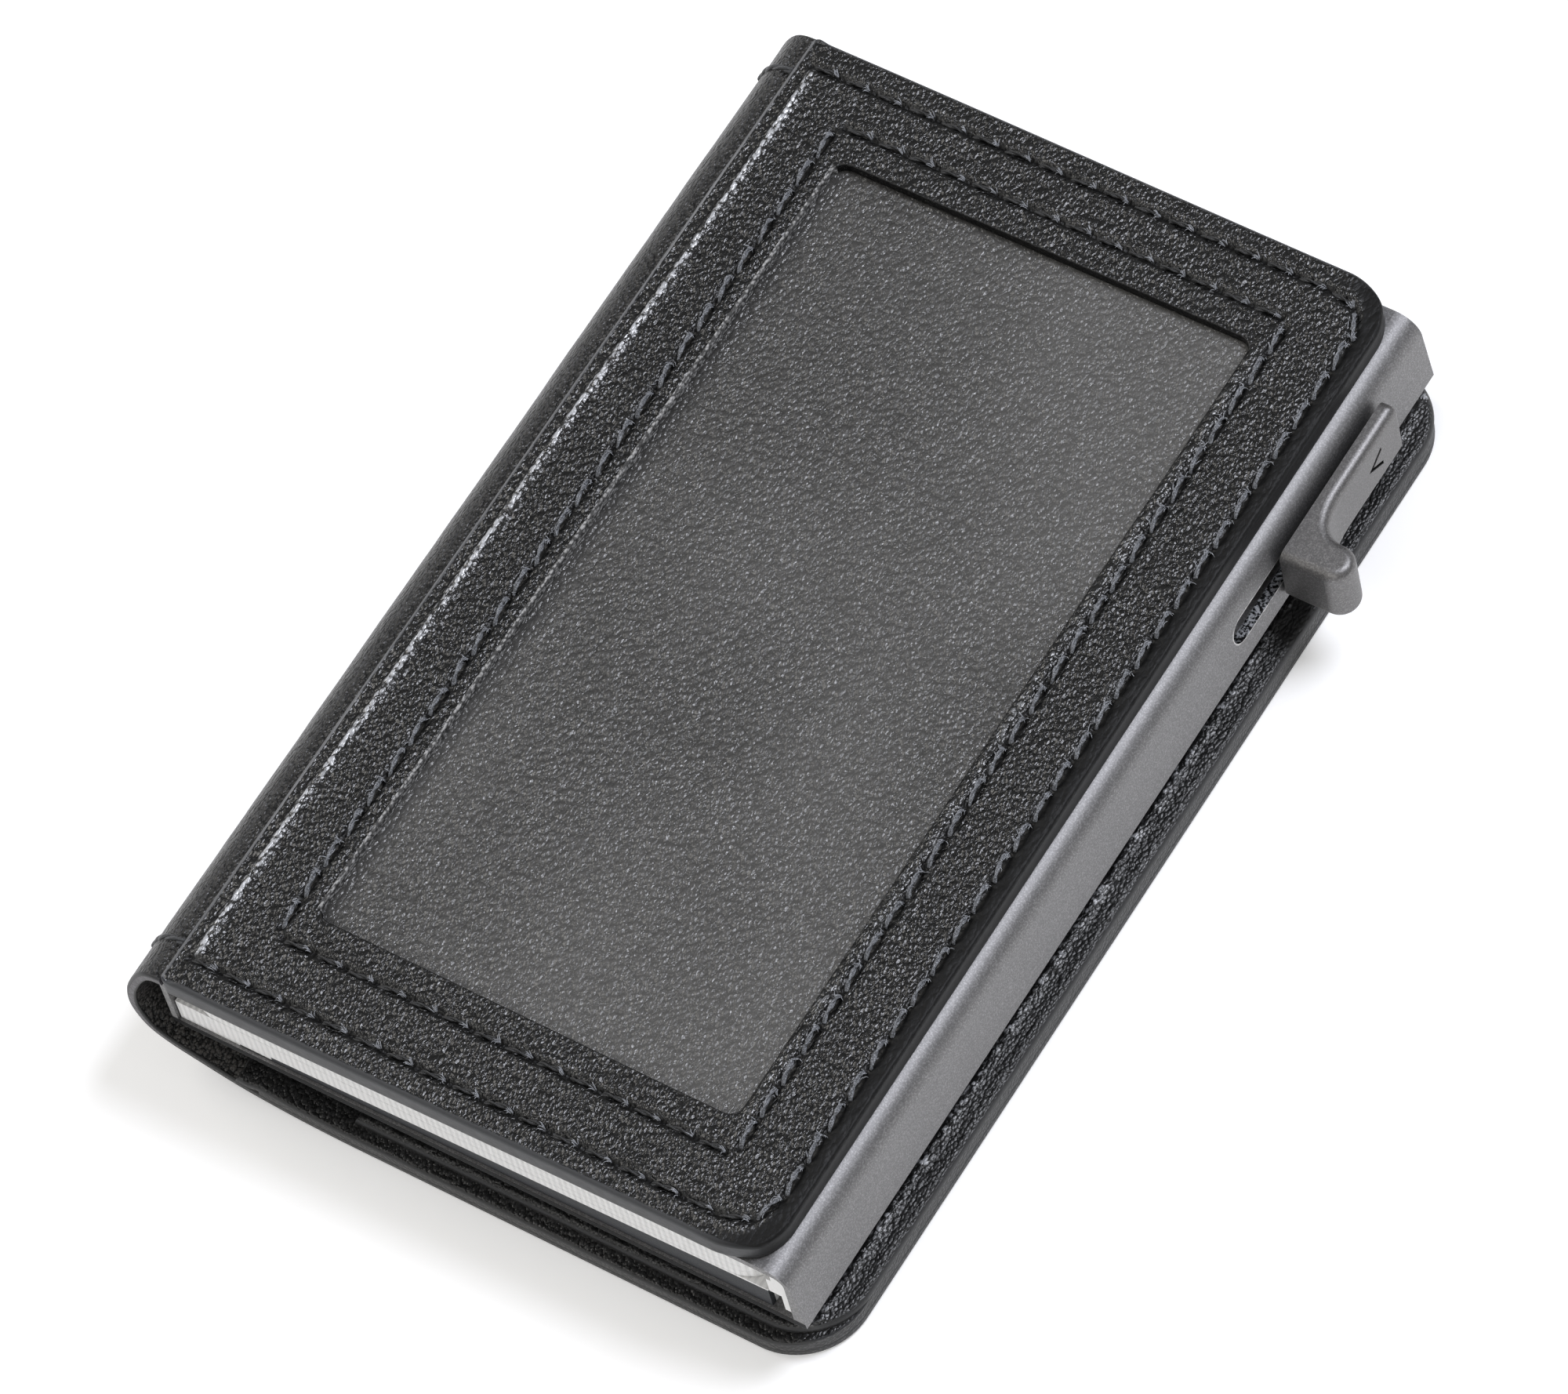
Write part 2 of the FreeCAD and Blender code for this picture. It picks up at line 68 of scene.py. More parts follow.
FRONT = (front_low[0], front_high[0], front_low[1], front_high[1])      # x0, x1, y0, y1
FRONT_TOP = front_high[2]
FRONT_CORNER = 4.9
FLAP_CORNER = 0.6
WINDOW = (film_low[0] + 1.2, film_high[0] - 0.7, film_low[1] + 2.0, film_high[1] - 2.3)
WINDOW_CORNER = 1.2
THREAD_HALF = 0.275


def stitch_rect(node):
    """The rectangle that the middle of a row of stitches follows: x0, x1, y0, y1."""
    low, high = box_mm(node)
    return low[0] + THREAD_HALF, high[0] - THREAD_HALF, low[1] + THREAD_HALF, high[1] - THREAD_HALF


WINDOW_STITCH = stitch_rect("window_thread")
EDGE_STITCH = stitch_rect("edge_thread")
COVER_STITCH = stitch_rect("pocket_thread")
EDGE_STITCH_CORNER = 3.2
STITCH_PITCH = 3.0
STITCH_LENGTH = 2.3

COVER_RIGHT = cover_high[0]
COVER_CORNER = 6.0
HALF_LENGTH = cover_high[1]
SPINE_X = box_mm("spine_leather")[0][0]
COVER_LEATHER = 0.9
COVER_BOARD = 0.5
COVER_LINING = 0.6
POCKET_THICK = 0.7

# The outside of the cover's section, from the flat back round the spine and over the shoulder.
COVER_PROFILE = ((COVER_RIGHT, 0.0), (10.0, 0.0), (-4.0, 0.0), (-10.0, 0.0), (-15.3, 0.0),
                 (-19.9, 0.27), (-24.5, 0.95), (-28.0, 1.95), (-30.9, 2.95), (-32.6, 4.05),
                 (-33.5, 5.6), (SPINE_X, 7.5), (-33.55, 9.6), (-32.9, 11.3), (-32.0, 13.0),
                 (-31.1, 14.1), (-30.2, 14.58), (-29.2, 14.72))
SPINE_MIDDLE = 11               # the profile point where the two spine pieces meet


# ---- Numbers ----
def soft_noise(x, y, size, seed):
    """Smooth random hills between -1 and 1, about size across."""
    table = np.random.default_rng(seed).uniform(-1, 1, (64, 64))
    gx, gy = x / size + 31.7, y / size + 17.3
    ix, iy = np.floor(gx).astype(int), np.floor(gy).astype(int)
    fx, fy = gx - ix, gy - iy
    fx, fy = fx * fx * (3 - 2 * fx), fy * fy * (3 - 2 * fy)
    a, b = table[ix % 64, iy % 64], table[(ix + 1) % 64, iy % 64]
    c, d = table[ix % 64, (iy + 1) % 64], table[(ix + 1) % 64, (iy + 1) % 64]
    return (a * (1 - fx) + b * fx) * (1 - fy) + (c * (1 - fx) + d * fx) * fy


def smooth(x, low, high):
    t = np.clip((x - low) / (high - low), 0, 1)
    return t * t * (3 - 2 * t)


def inside(x, y, rect, left, right):
    """How far a point is inside a rectangle with rounded corners; negative outside."""
    x0, x1, y0, y1 = rect
    radius = np.where(x < (x0 + x1) / 2, left, right)
    qx = np.abs(x - (x0 + x1) / 2) - (x1 - x0) / 2 + radius
    qy = np.abs(y - (y0 + y1) / 2) - (y1 - y0) / 2 + radius
    outside = np.hypot(np.maximum(qx, 0), np.maximum(qy, 0))
    return radius - outside - np.minimum(np.maximum(qx, qy), 0)


def plateau(x, start, top, fall, end):
    """1 between top and fall, with smooth slopes down to 0 at start and end."""
    return smooth(x, start, top) * (1 - smooth(x, fall, end))


def rounding(distance, radius):
    """How far a rounded edge drops at a distance from it."""
    share = np.clip(1 - distance / radius, 0, 1)
    return radius * (1 - np.sqrt(np.maximum(1 - share * share, 0)))


def edge_steps(radius, count=7):
    """Distances from an edge that follow its rounding, close together where it is steep."""
    return radius * (1 - np.cos(np.linspace(0, math.pi / 2, count)))


def spread(near, far, step, fine):
    """Places from near to far: fine steps beside both ends and an even step between them."""
    start, stop = near + fine[-1], far - fine[-1]
    middle = np.linspace(start, stop, max(2, int(round((stop - start) / step)) + 1))
    return np.concatenate([near + fine[:-1], middle, (far - fine[:-1])[::-1]])


# ---- Meshes ----
def grid_quads(rows, cols, wrap=False):
    i, j = np.meshgrid(np.arange(rows if wrap else rows - 1), np.arange(cols - 1), indexing="ij")
    after = (i + 1) % rows
    quads = np.stack([i * cols + j, i * cols + j + 1, after * cols + j + 1, after * cols + j], -1)
    return quads.reshape(-1, 4)


def tube_quads(segments, sides):
    """The faces of a tube whose points go round it once for each segment."""
    tube = grid_quads(segments, sides + 1)
    return (tube // (sides + 1)) * sides + (tube % (sides + 1)) % sides


def closed_tube_quads(segments, sides):
    """The same with both ends closed. The number of sides is even."""
    cap = np.array([(0, k, k + 1, k + 2) for k in range(1, sides - 1, 2)])
    tube = tube_quads(segments, sides)[:, ::-1]
    return np.concatenate([tube, cap[:, ::-1], cap + (segments - 1) * sides])


def new_object(name, data):
    thing = bpy.data.objects.new(name, data)
    bpy.context.scene.collection.objects.link(thing)
    return thing


def make_piece(name, points, quads, materials, indices=None, sharp=38.0):
    """A mesh object from points in millimetres and four-cornered faces."""
    mesh = bpy.data.meshes.new(name)
    mesh.vertices.add(len(points))
    mesh.vertices.foreach_set("co", (np.asarray(points) * MM).astype(np.float32).ravel())
    mesh.loops.add(4 * len(quads))
    mesh.loops.foreach_set("vertex_index", quads.astype(np.int32).ravel())
    mesh.polygons.add(len(quads))
    mesh.polygons.foreach_set("loop_start", np.arange(0, 4 * len(quads), 4, dtype=np.int32))
    mesh.polygons.foreach_set("use_smooth", np.ones(len(quads), bool))
    for material in materials:
        mesh.materials.append(material)
    if indices is not None:
        mesh.polygons.foreach_set("material_index", indices.astype(np.int32))
    mesh.update(calc_edges=True)
    mesh.validate()
    mesh.set_sharp_from_angle(angle=math.radians(sharp))
    return new_object(name, mesh)


def settle(piece, body, slot, *stands_for):
    """Puts a piece on its body, in the place of the CAD nodes it stands for, which it hides. Its slot is
    not used.
    """
    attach(piece, body)
    if stands_for:
        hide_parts(*stands_for)


def slab(name, show, back, materials, rim=0, gloss_and_painted_highlight=0, dent_and_painted_shade=0, wrap=False):
    """A closed sheet between two grids of points. Materials are its face, back and edge. The
    leather's material reads rim, gloss_and_painted_highlight and dent_and_painted_shade at each point:
    the painted rim, gloss with a painted highlight, and pressed places darkened by painted shade."""
    rows, cols = show.shape[:2]
    count = rows * cols
    points = np.concatenate([show.reshape(-1, 3), back.reshape(-1, 3)])
    face = grid_quads(rows, cols, wrap)
    number = np.arange(count).reshape(rows, cols)
    after = np.roll(number, -1, 0)
    edges = [(after[:, 0], number[:, 0]), (number[:, -1], after[:, -1])]
    if not wrap:
        edges = [(p[:-1], q[:-1]) for p, q in edges]
        edges += [(number[0, :-1], number[0, 1:]), (number[-1, 1:], number[-1, :-1])]
    p = np.concatenate([a for a, _ in edges])
    q = np.concatenate([b for _, b in edges])
    wall = np.stack([q, p, p + count, q + count], -1)
    quads = np.concatenate([face, face[:, ::-1] + count, wall])
    middle = face[len(face) // 2]
    a, b, _, d = points[middle]
    if np.dot(np.cross(b - a, d - a), a - points[middle[0] + count]) < 0:
        quads = quads[:, ::-1]
    indices = np.repeat([0, 1, 2], [len(face), len(face), len(wall)])
    piece = make_piece(name, points, quads, materials, indices)
    look = [np.tile(np.broadcast_to(value, (rows, cols)).ravel(), 2) for value in (rim, gloss_and_painted_highlight, dent_and_painted_shade)]
    layer = piece.data.attributes.new("look", "FLOAT_VECTOR", "POINT")
    layer.data.foreach_set("vector", np.stack(look, -1).astype(np.float32).ravel())
    return piece


def sheet_grid(rect, left, right, step, edge, ends=(True, True)):
    """Rows and columns over a rectangle with rounded corners, and each point's distance from
    its edge. An end that isn't a real edge has no distance of its own."""
    x0, x1, y0, y1 = rect
    fine = edge_steps(edge)
    corner = max(left, right)
    arc = corner * (1 - np.cos(np.radians(np.arange(4, 90, 4))))
    y_steps = np.unique(np.round(np.concatenate([fine, arc]), 4)) if corner > 0 else fine
    ys = spread(y0, y1, step, y_steps)
    from_end = np.minimum(ys - y0, y1 - ys)

    def cut(radius):
        return radius - np.sqrt(np.maximum(radius ** 2 - np.maximum(radius - from_end, 0) ** 2, 0))

    low, high = x0 + cut(left), x1 - cut(right)
    pattern = spread(0.0, x1 - x0, step, fine)[len(fine) - 1:1 - len(fine)]
    share = (pattern - fine[-1]) / (x1 - x0 - 2 * fine[-1])
    x = np.concatenate([low[:, None] + fine[None, :-1],
                        (low + fine[-1])[:, None] + share[None] * (high - low - 2 * fine[-1])[:, None],
                        (high[:, None] - fine[None, :-1])[:, ::-1]], 1)
    y = np.broadcast_to(ys[:, None], x.shape)
    wide = (x0 - (0 if ends[0] else 30), x1 + (0 if ends[1] else 30), y0, y1)
    return x, y, np.maximum(inside(x, y, wide, left, right), 0)


def rounded_loop(rect, left, right, along_x, along_y, arc):
    """Points round a rectangle with rounded corners, the same number on each stretch."""
    x0, x1, y0, y1 = rect
    corners = ((x0 + left, y0 + left, left, 180), (x1 - right, y0 + right, right, 270),
               (x1 - right, y1 - right, right, 0), (x0 + left, y1 - left, left, 90))
    points = []
    for k, (cx, cy, radius, start) in enumerate(corners):
        angles = np.radians(start + np.linspace(0, 90, arc, endpoint=False))
        points.append(np.stack([cx + radius * np.cos(angles), cy + radius * np.sin(angles)], -1))
        nx, ny, next_radius, _ = corners[(k + 1) % 4]
        out = math.radians(start + 90)
        out = np.array((math.cos(out), math.sin(out)))
        leave, reach = (cx, cy) + radius * out, (nx, ny) + next_radius * out
        count = along_x if k % 2 == 0 else along_y
        points.append(leave + np.arange(count)[:, None] / count * (reach - leave))
    return np.concatenate(points)


# ---- Stitches ----
ROW_LIFT = 0.36                 # how much prouder the threads along Y stand than those along X


def straight_row(start, end):
    """(centre, direction) of each stitch between two points, as evenly as they fit."""
    start, end = np.array(start, float), np.array(end, float)
    length = np.hypot(*(end - start))
    count = max(1, round(length / STITCH_PITCH))
    way = (end - start) / length
    return [(start + (i + 0.5) / count * (end - start), way) for i in range(count)]


def path_row(points):
    """Stitches along a path of points, at the stitch pitch."""
    points = np.array(points, float)
    steps = np.hypot(*np.diff(points, axis=0).T)
    along = np.concatenate([[0], np.cumsum(steps)])
    count = round(along[-1] / STITCH_PITCH)
    row = []
    for i in range(count):
        ends = [(i + 0.5) / count * along[-1] + k * STITCH_LENGTH / 2 for k in (-1, 1)]
        a, b = (np.array([np.interp(e, along, points[:, k]) for k in (0, 1)]) for e in ends)
        row.append(((a + b) / 2, (b - a) / np.hypot(*(b - a))))
    return row


def ring_row(rect):
    x0, x1, y0, y1 = rect
    gap = 2 * THREAD_HALF
    return (straight_row((x0 + gap, y0), (x1 - gap, y0)) + straight_row((x1, y0 + gap), (x1, y1 - gap))
            + straight_row((x1 - gap, y1), (x0 + gap, y1)) + straight_row((x0, y1 - gap), (x0, y0 + gap)))


def open_row(rect, corner, left_x):
    """A row that runs along the near edge, round two corners and back along the far edge."""
    _, x1, y0, y1 = rect
    angles = np.radians(np.linspace(-90, 0, 8))
    near = [(x1 - corner + corner * math.cos(a), y0 + corner + corner * math.sin(a)) for a in angles]
    far = [(x, y1 - (y - y0)) for x, y in near[::-1]]
    return path_row([(left_x, y0)] + near + far + [(left_x, y1)])


def stitch_dents(x, y, row, depth):
    """How deep the leather is pulled in by a row of stitches, and how much painted shade darkens the
    dents.
    """
    half = STITCH_LENGTH / 2
    deep, swell = np.zeros_like(x), np.zeros_like(x)
    for (cx, cy), (wx, wy) in row:
        near = (np.abs(x - cx) < 3.0) & (np.abs(y - cy) < 3.0)
        dx, dy = x[near] - cx, y[near] - cy
        along, across = dx * wx + dy * wy, -dx * wy + dy * wx
        inside_ends = 1 - smooth(np.abs(along), half - 0.3, half + 0.25)
        trough = 0.55 * np.exp(-(across / 0.27) ** 2) * inside_ends
        hole = np.exp(-(across / 0.27) ** 2 - ((np.abs(along) - half - 0.12) / 0.27) ** 2)
        beside = np.exp(-((np.abs(across) - 0.8) / 0.36) ** 2)
        shoulder = beside * (1 - smooth(np.abs(along), 0.2, half + 0.5))
        deep[near] = np.maximum(deep[near], np.maximum(trough, hole))
        swell[near] = np.maximum(swell[near], shoulder)
    return depth * (deep - 0.16 * swell), np.clip(deep, 0, 1)


def thread_piece(name, row, place, level, materials, slant=7.0, seed=3, radius=0.108, sink=0.6,
                 row_lift=ROW_LIFT):
    """Two twisted plies for each stitch, with both ends going down into the leather. The first
    material is for stitches that run more along X and the second for those along Y."""
    rng = np.random.default_rng(seed)
    segments, sides, plies = 14, 6, 2
    t = np.linspace(0, 1, segments)
    ring = np.linspace(0, 2 * math.pi, sides, endpoint=False)
    points, quads, kinds = [], [], []
    tube = closed_tube_quads(segments, sides)
    for centre, way in row:
        turn = math.radians(slant + rng.normal(0, 2.5))
        c, s = math.cos(turn), math.sin(turn)
        way = np.array((way[0] * c - way[1] * s, way[0] * s + way[1] * c))
        side = np.array((-way[1], way[0]))
        half = STITCH_LENGTH / 2 * (1 + rng.normal(0, 0.03)) + 0.16
        shift = rng.normal(0, 0.04)
        sag = sink * np.abs(2 * t - 1) ** 4
        proud = level + row_lift * (abs(way[1]) - 0.5)
        lift = proud + rng.normal(0, 0.03) + 0.05 * np.cos((t - 0.4) * math.pi)
        phase = rng.uniform(0, math.pi)
        for ply in range(plies):
            angle = phase + ply * math.pi + t * math.pi * 2.3
            off = 0.092 * np.cos(angle) + shift
            up = 0.092 * np.sin(angle) - sag + lift
            along = (2 * t - 1) * half
            fat = radius * (1 + 0.06 * np.sin(9 * t + phase))
            across = off[:, None] + fat[:, None] * np.cos(ring)
            high = up[:, None] + fat[:, None] * np.sin(ring)
            plan = centre + along[:, None, None] * way + across[:, :, None] * side
            quads.append(tube + len(points) * segments * sides)
            points.append(place(plan[..., 0], plan[..., 1], -high).reshape(-1, 3))
            kinds.append(np.full(len(tube), int(abs(way[1]) > 0.7)))
    return make_piece(name, np.concatenate(points), np.concatenate(quads), materials,
                      np.concatenate(kinds), sharp=60)


def fibre_piece(name, spots, place, material, seed, length=0.62, radius=0.04):
    """Loose fibres. Each spot is where a fibre starts, how deep, and which way it heads."""
    rng = np.random.default_rng(seed)
    t = np.linspace(0, 1, 6)
    ring = np.linspace(0, 2 * math.pi, 4, endpoint=False)
    tube = tube_quads(len(t), len(ring))
    points, quads = [], []
    for n, (x, y, low, heading) in enumerate(spots):
        reach = length * rng.uniform(0.6, 1.1)
        angle = heading + rng.normal(0, 0.7) * t
        px = x + np.cumsum(np.cos(angle)) * reach / len(t)
        py = y + np.cumsum(np.sin(angle)) * reach / len(t)
        rise = rng.uniform(0.1, 0.26)
        pz = -low + (low + rise) * np.sin(t * rng.uniform(1.7, 2.6))
        thin = radius * (1 - 0.75 * t)
        qx = px[:, None] - thin[:, None] * np.cos(ring) * np.sin(angle)[:, None]
        qy = py[:, None] + thin[:, None] * np.cos(ring) * np.cos(angle)[:, None]
        qz = pz[:, None] + thin[:, None] * np.sin(ring)
        points.append(place(qx, qy, -qz).reshape(-1, 3))
        quads.append(tube + n * 4 * len(t))
    return make_piece(name, np.concatenate(points), np.concatenate(quads), [material], sharp=180)


# ---- Materials ----
class Shader:
    """A material and short ways to add and join its nodes."""

    def __init__(self, name):
        self.material = bpy.data.materials.new(name)
        self.material.use_nodes = True
        self.tree = self.material.node_tree
        self.bsdf = self.tree.nodes["Principled BSDF"]

    def node(self, kind, inputs=None, **settings):
        node = self.tree.nodes.new("ShaderNode" + kind)
        for key, value in settings.items():
            setattr(node, key, value)
        for key, value in (inputs or {}).items():
            self.put(node.inputs[key], value)
        return node

    def put(self, socket, value):
        if isinstance(value, bpy.types.NodeSocket):
            self.tree.links.new(value, socket)
        else:
            socket.default_value = value

    def math(self, operation, a, b=0.0):
        return self.node("Math", {0: a, 1: b}, operation=operation).outputs[0]

    def times(self, a, b):
        return self.math("MULTIPLY", a, b)

    def plus(self, a, b):
        return self.math("ADD", a, b)

    def minus(self, a, b):
        return self.math("SUBTRACT", a, b)

    def remap(self, value, low, high, to_low=0.0, to_high=1.0):
        inputs = {0: value, 1: low, 2: high, 3: to_low, 4: to_high}
        return self.node("MapRange", inputs, interpolation_type="SMOOTHSTEP").outputs[0]

    def within(self, value, low, high):
        """1 between two values and 0 elsewhere."""
        return self.times(self.math("GREATER_THAN", value, low), self.math("LESS_THAN", value, high))

    def mix(self, share, a, b):
        return self.node("Mix", {0: share, 6: a, 7: b}, data_type="RGBA").outputs[2]

    def lerp(self, share, a, b):
        return self.node("Mix", {0: share, 2: a, 3: b}, data_type="FLOAT").outputs[0]

    def place(self, stretch=(1, 1, 1), turn=0.0):
        """The point on the object in millimetres."""
        coords = self.node("TexCoord").outputs["Object"]
        scale = [s / MM for s in stretch]
        inputs = {"Vector": coords, "Scale": scale, "Rotation": (0, 0, turn)}
        return self.node("Mapping", inputs).outputs[0]

    def noise(self, vector, per_mm, detail=2.0, rough=0.5):
        inputs = {"Vector": vector, "Scale": per_mm, "Detail": detail, "Roughness": rough}
        return self.node("TexNoise", inputs).outputs[0]

    def cells(self, vector, per_mm):
        """The distance to the nearest cell's centre."""
        return self.node("TexVoronoi", {"Vector": vector, "Scale": per_mm}).outputs["Distance"]

    def wobble(self, vector, per_mm, amount):
        """The same place, pushed about by noise, so that cells aren't straight sided."""
        noise = self.node("TexNoise", {"Vector": vector, "Scale": per_mm, "Detail": 1.0}).outputs[1]
        centred = self.node("VectorMath", {0: noise, 1: (0.5, 0.5, 0.5)}, operation="SUBTRACT")
        pushed = self.node("VectorMath", {0: centred.outputs[0], "Scale": amount}, operation="SCALE")
        return self.node("VectorMath", {0: vector, 1: pushed.outputs[0]}).outputs[0]

    def relief(self, height):
        """A bump whose height is in millimetres."""
        node = self.node("Bump", {"Height": height, "Distance": MM, "Strength": 1.0})
        self.put(self.bsdf.inputs["Normal"], node.outputs[0])

    def set(self, **values):
        names = {"colour": "Base Color", "rough": "Roughness", "metal": "Metallic",
                 "specular": "Specular IOR Level", "alpha": "Alpha", "sheen": "Sheen Weight",
                 "sheen_rough": "Sheen Roughness"}
        for key, value in values.items():
            self.put(self.bsdf.inputs[names[key]], value)
        return self.material


def grey(value, tint=0.0):
    """A grey whose blue is a little stronger, or weaker, than its red."""
    return (value * (1 - tint / 2), value, value * (1 + tint), 1)


def brighter(colour, factor):
    return tuple(c * factor for c in colour[:3]) + (1,)


def leather(name, dark, light, pebble, depth, rough, specular, rim_colour):
    """Pebbled leather. The look attribute gives, at each place, how much of a smooth painted rim it has,
    how much gloss with a painted highlight (lighter grain tops on the crease ridge and crinkles), and how
    much of a pressed place darkened by painted shade (stitch dents, the window's edges, the right
    margin)."""
    s = Shader(name)
    look = s.node("Attribute", attribute_name="look").outputs["Vector"]
    rim, gloss_and_painted_highlight, dent_and_painted_shade = s.node("SeparateXYZ", {0: look}).outputs
    at = s.place()
    bent = s.wobble(s.place((1.0, 0.62, 1.0)), 1.6 / pebble, 0.6 * pebble)
    domes = s.times(s.math("POWER", s.cells(bent, 1 / pebble), 1.7), -1.9)
    tiny = s.times(s.noise(at, 7.0, 2.0, 0.6), 0.01)
    folds = s.noise(s.place((1.0, 0.6, 1.0), 0.5), 1.1, 3.0, 0.55)
    hills = s.noise(at, 0.22, 2.0)
    rim = s.plus(rim, s.times(s.minus(s.noise(at, 0.9, 2.0), 0.5), 0.3))
    painted = s.remap(rim, 0.4, 0.62)
    flattened = s.math("MAXIMUM", s.times(dent_and_painted_shade, 0.8), s.times(gloss_and_painted_highlight, 0.25))
    amount = s.times(s.minus(1.0, flattened), s.times(s.remap(folds, 0.2, 0.65, 0.7, 1.1), depth))
    grain = s.lerp(painted, s.plus(s.times(domes, amount), tiny), tiny)
    plain = s.minus(1.0, s.math("MAXIMUM", painted, dent_and_painted_shade))
    s.relief(s.plus(grain, s.plus(s.times(hills, 0.12), s.times(s.times(folds, plain), 0.04))))
    colour = s.mix(s.remap(domes, -0.9, -0.1), dark, light)
    # Painted highlight: the tops of the grain are lightened where the crease ridge and crinkles shine.
    reach = s.times(gloss_and_painted_highlight, -0.75)
    painted_glints = s.remap(domes, s.minus(reach, 0.3), s.plus(reach, 0.2))
    painted_glints = s.times(painted_glints, s.remap(gloss_and_painted_highlight, 0.1, 1.0, 0.0, 0.95))
    colour = s.mix(painted_glints, colour, grey(0.5, 0.05))
    colour = s.mix(painted, colour, rim_colour)
    # Painted shade: darker in stitch dents, along the window's edges and on the right-hand margin.
    colour = s.mix(s.times(dent_and_painted_shade, 0.8), colour, grey(0.0025))
    roughness = s.plus(rough - 0.06, s.times(s.noise(at, 1.7, 2.0), 0.12))
    roughness = s.minus(roughness, s.times(gloss_and_painted_highlight, 0.04))
    roughness = s.plus(roughness, s.times(dent_and_painted_shade, 0.3))
    roughness = s.lerp(painted, roughness, 0.5)
    gloss = s.plus(specular, s.times(gloss_and_painted_highlight, 0.9))
    gloss = s.times(gloss, s.minus(1.0, s.times(dent_and_painted_shade, 0.7)))
    return s.set(colour=colour, rough=roughness, specular=gloss)


def painted_edge(name, colour, low_colour=None, level=3.4, specks=0.0, painted_shade_from_x=None):
    """Edge paint over cut leather: nearly smooth, with soft unevenness. With low_colour, it is
    worn to that colour below a height in millimetres. Beyond painted_shade_from_x along X it is
    darkened nearly to black as painted shade."""
    s = Shader(name)
    at = s.place()
    lines = s.noise(s.place((0.5, 0.5, 1.0)), 3.5, 3.0, 0.6)
    blotches = s.noise(at, 0.9, 3.0)
    pores = s.cells(s.wobble(at, 4.0, 0.15), 1 / 0.28)
    height = s.plus(s.times(lines, 0.02), s.times(blotches, 0.05))
    s.relief(s.minus(height, s.times(pores, specks)))
    tone = s.mix(s.remap(blotches, 0.3, 0.7), colour, brighter(colour, 1.5))
    x, _, z = s.node("SeparateXYZ", {0: at}).outputs
    if low_colour is not None:
        worn = s.mix(s.remap(pores, 0.15, 0.5), brighter(low_colour, 3), low_colour)
        tone = s.mix(s.remap(z, level - 1.2, level + 1.2), worn, tone)
    if painted_shade_from_x is not None:
        # Painted shade: the edge paint is darkened nearly to black along the right-hand side.
        tone = s.mix(s.remap(x, painted_shade_from_x - 1.5, painted_shade_from_x), tone, grey(0.004))
    rough = s.plus(0.4, s.times(lines, 0.18))
    return s.set(colour=tone, rough=rough, specular=0.45)


def slot_tone(s, at, y, z, slot, tone):
    """The wear of a slot with round ends between y0 and y1, and z0 and z1: rough inside, and bare
    metal along its edge."""
    y0, y1, z0, z1 = slot
    radius = (z1 - z0) / 2
    from_middle = s.math("ABSOLUTE", s.minus(y, (y0 + y1) / 2))
    past = s.math("MAXIMUM", s.minus(from_middle, (y1 - y0) / 2 - radius), 0.0)
    up = s.minus(z, (z0 + z1) / 2)
    away = s.math("SQRT", s.plus(s.times(past, past), s.times(up, up)))
    uneven = s.times(s.minus(s.noise(at, 2.2, 2.0), 0.5), 0.4)
    band = s.minus(1.0, s.remap(s.plus(away, uneven), radius + 0.05, radius + 0.13))
    bare = s.times(band, s.math("GREATER_THAN", away, radius + 0.005))
    tone = s.mix(bare, tone, grey(0.6, -0.02))
    cut = s.mix(s.remap(s.noise(at, 3.4, 2.0, 0.65), 0.43, 0.62), grey(0.015), grey(0.45, 0.05))
    return s.mix(s.math("LESS_THAN", away, radius + 0.005), tone, cut)


def blasted_metal(name, colour, rough, grit, mouth=None, slot=None, arrow=None):
    """Bead-blasted, anodised metal: an even sparkling grit with faint cloudiness. In millimetres,
    mouth is (y, z), in front of and below which it is darkened as painted shade; slot is (y0, y1, z0,
    z1), a worn slot; and arrow is (x0, x1, y0, y1, z0, z1), the floor of an engraved arrow, which is
    darkened as painted shade."""
    s = Shader(name)
    at = s.place()
    grain = s.noise(at, 7.0, 2.0, 0.7)
    clouds = s.noise(at, 0.09, 3.0)
    s.relief(s.times(grain, grit))
    lighter = brighter(colour, 1.9)
    tone = s.mix(s.remap(grain, 0.4, 0.75), colour, lighter)
    tone = s.mix(s.times(clouds, 0.2), tone, lighter)
    x, y, z = s.node("SeparateXYZ", {0: at}).outputs
    if mouth is not None:
        # Painted shade at the sleeve's mouth.
        painted_mouth_shade = s.times(s.math("LESS_THAN", y, mouth[0]), s.math("LESS_THAN", z, mouth[1]))
        tone = s.mix(painted_mouth_shade, tone, grey(0.01, 0.1))
    if slot is not None:
        tone = slot_tone(s, at, y, z, slot, tone)
    if arrow is not None:
        # Painted shade in the engraved arrow's floor.
        painted_arrow_shade = s.times(s.within(y, *arrow[2:4]), s.within(z, *arrow[4:]))
        tone = s.mix(s.times(s.within(x, *arrow[:2]), painted_arrow_shade), tone, grey(0.006))
    roughness = s.plus(rough - 0.05, s.times(grain, 0.1))
    return s.set(colour=tone, rough=roughness, metal=1.0)


RIB_PITCH = 0.56
RIB_DEPTH = 0.035


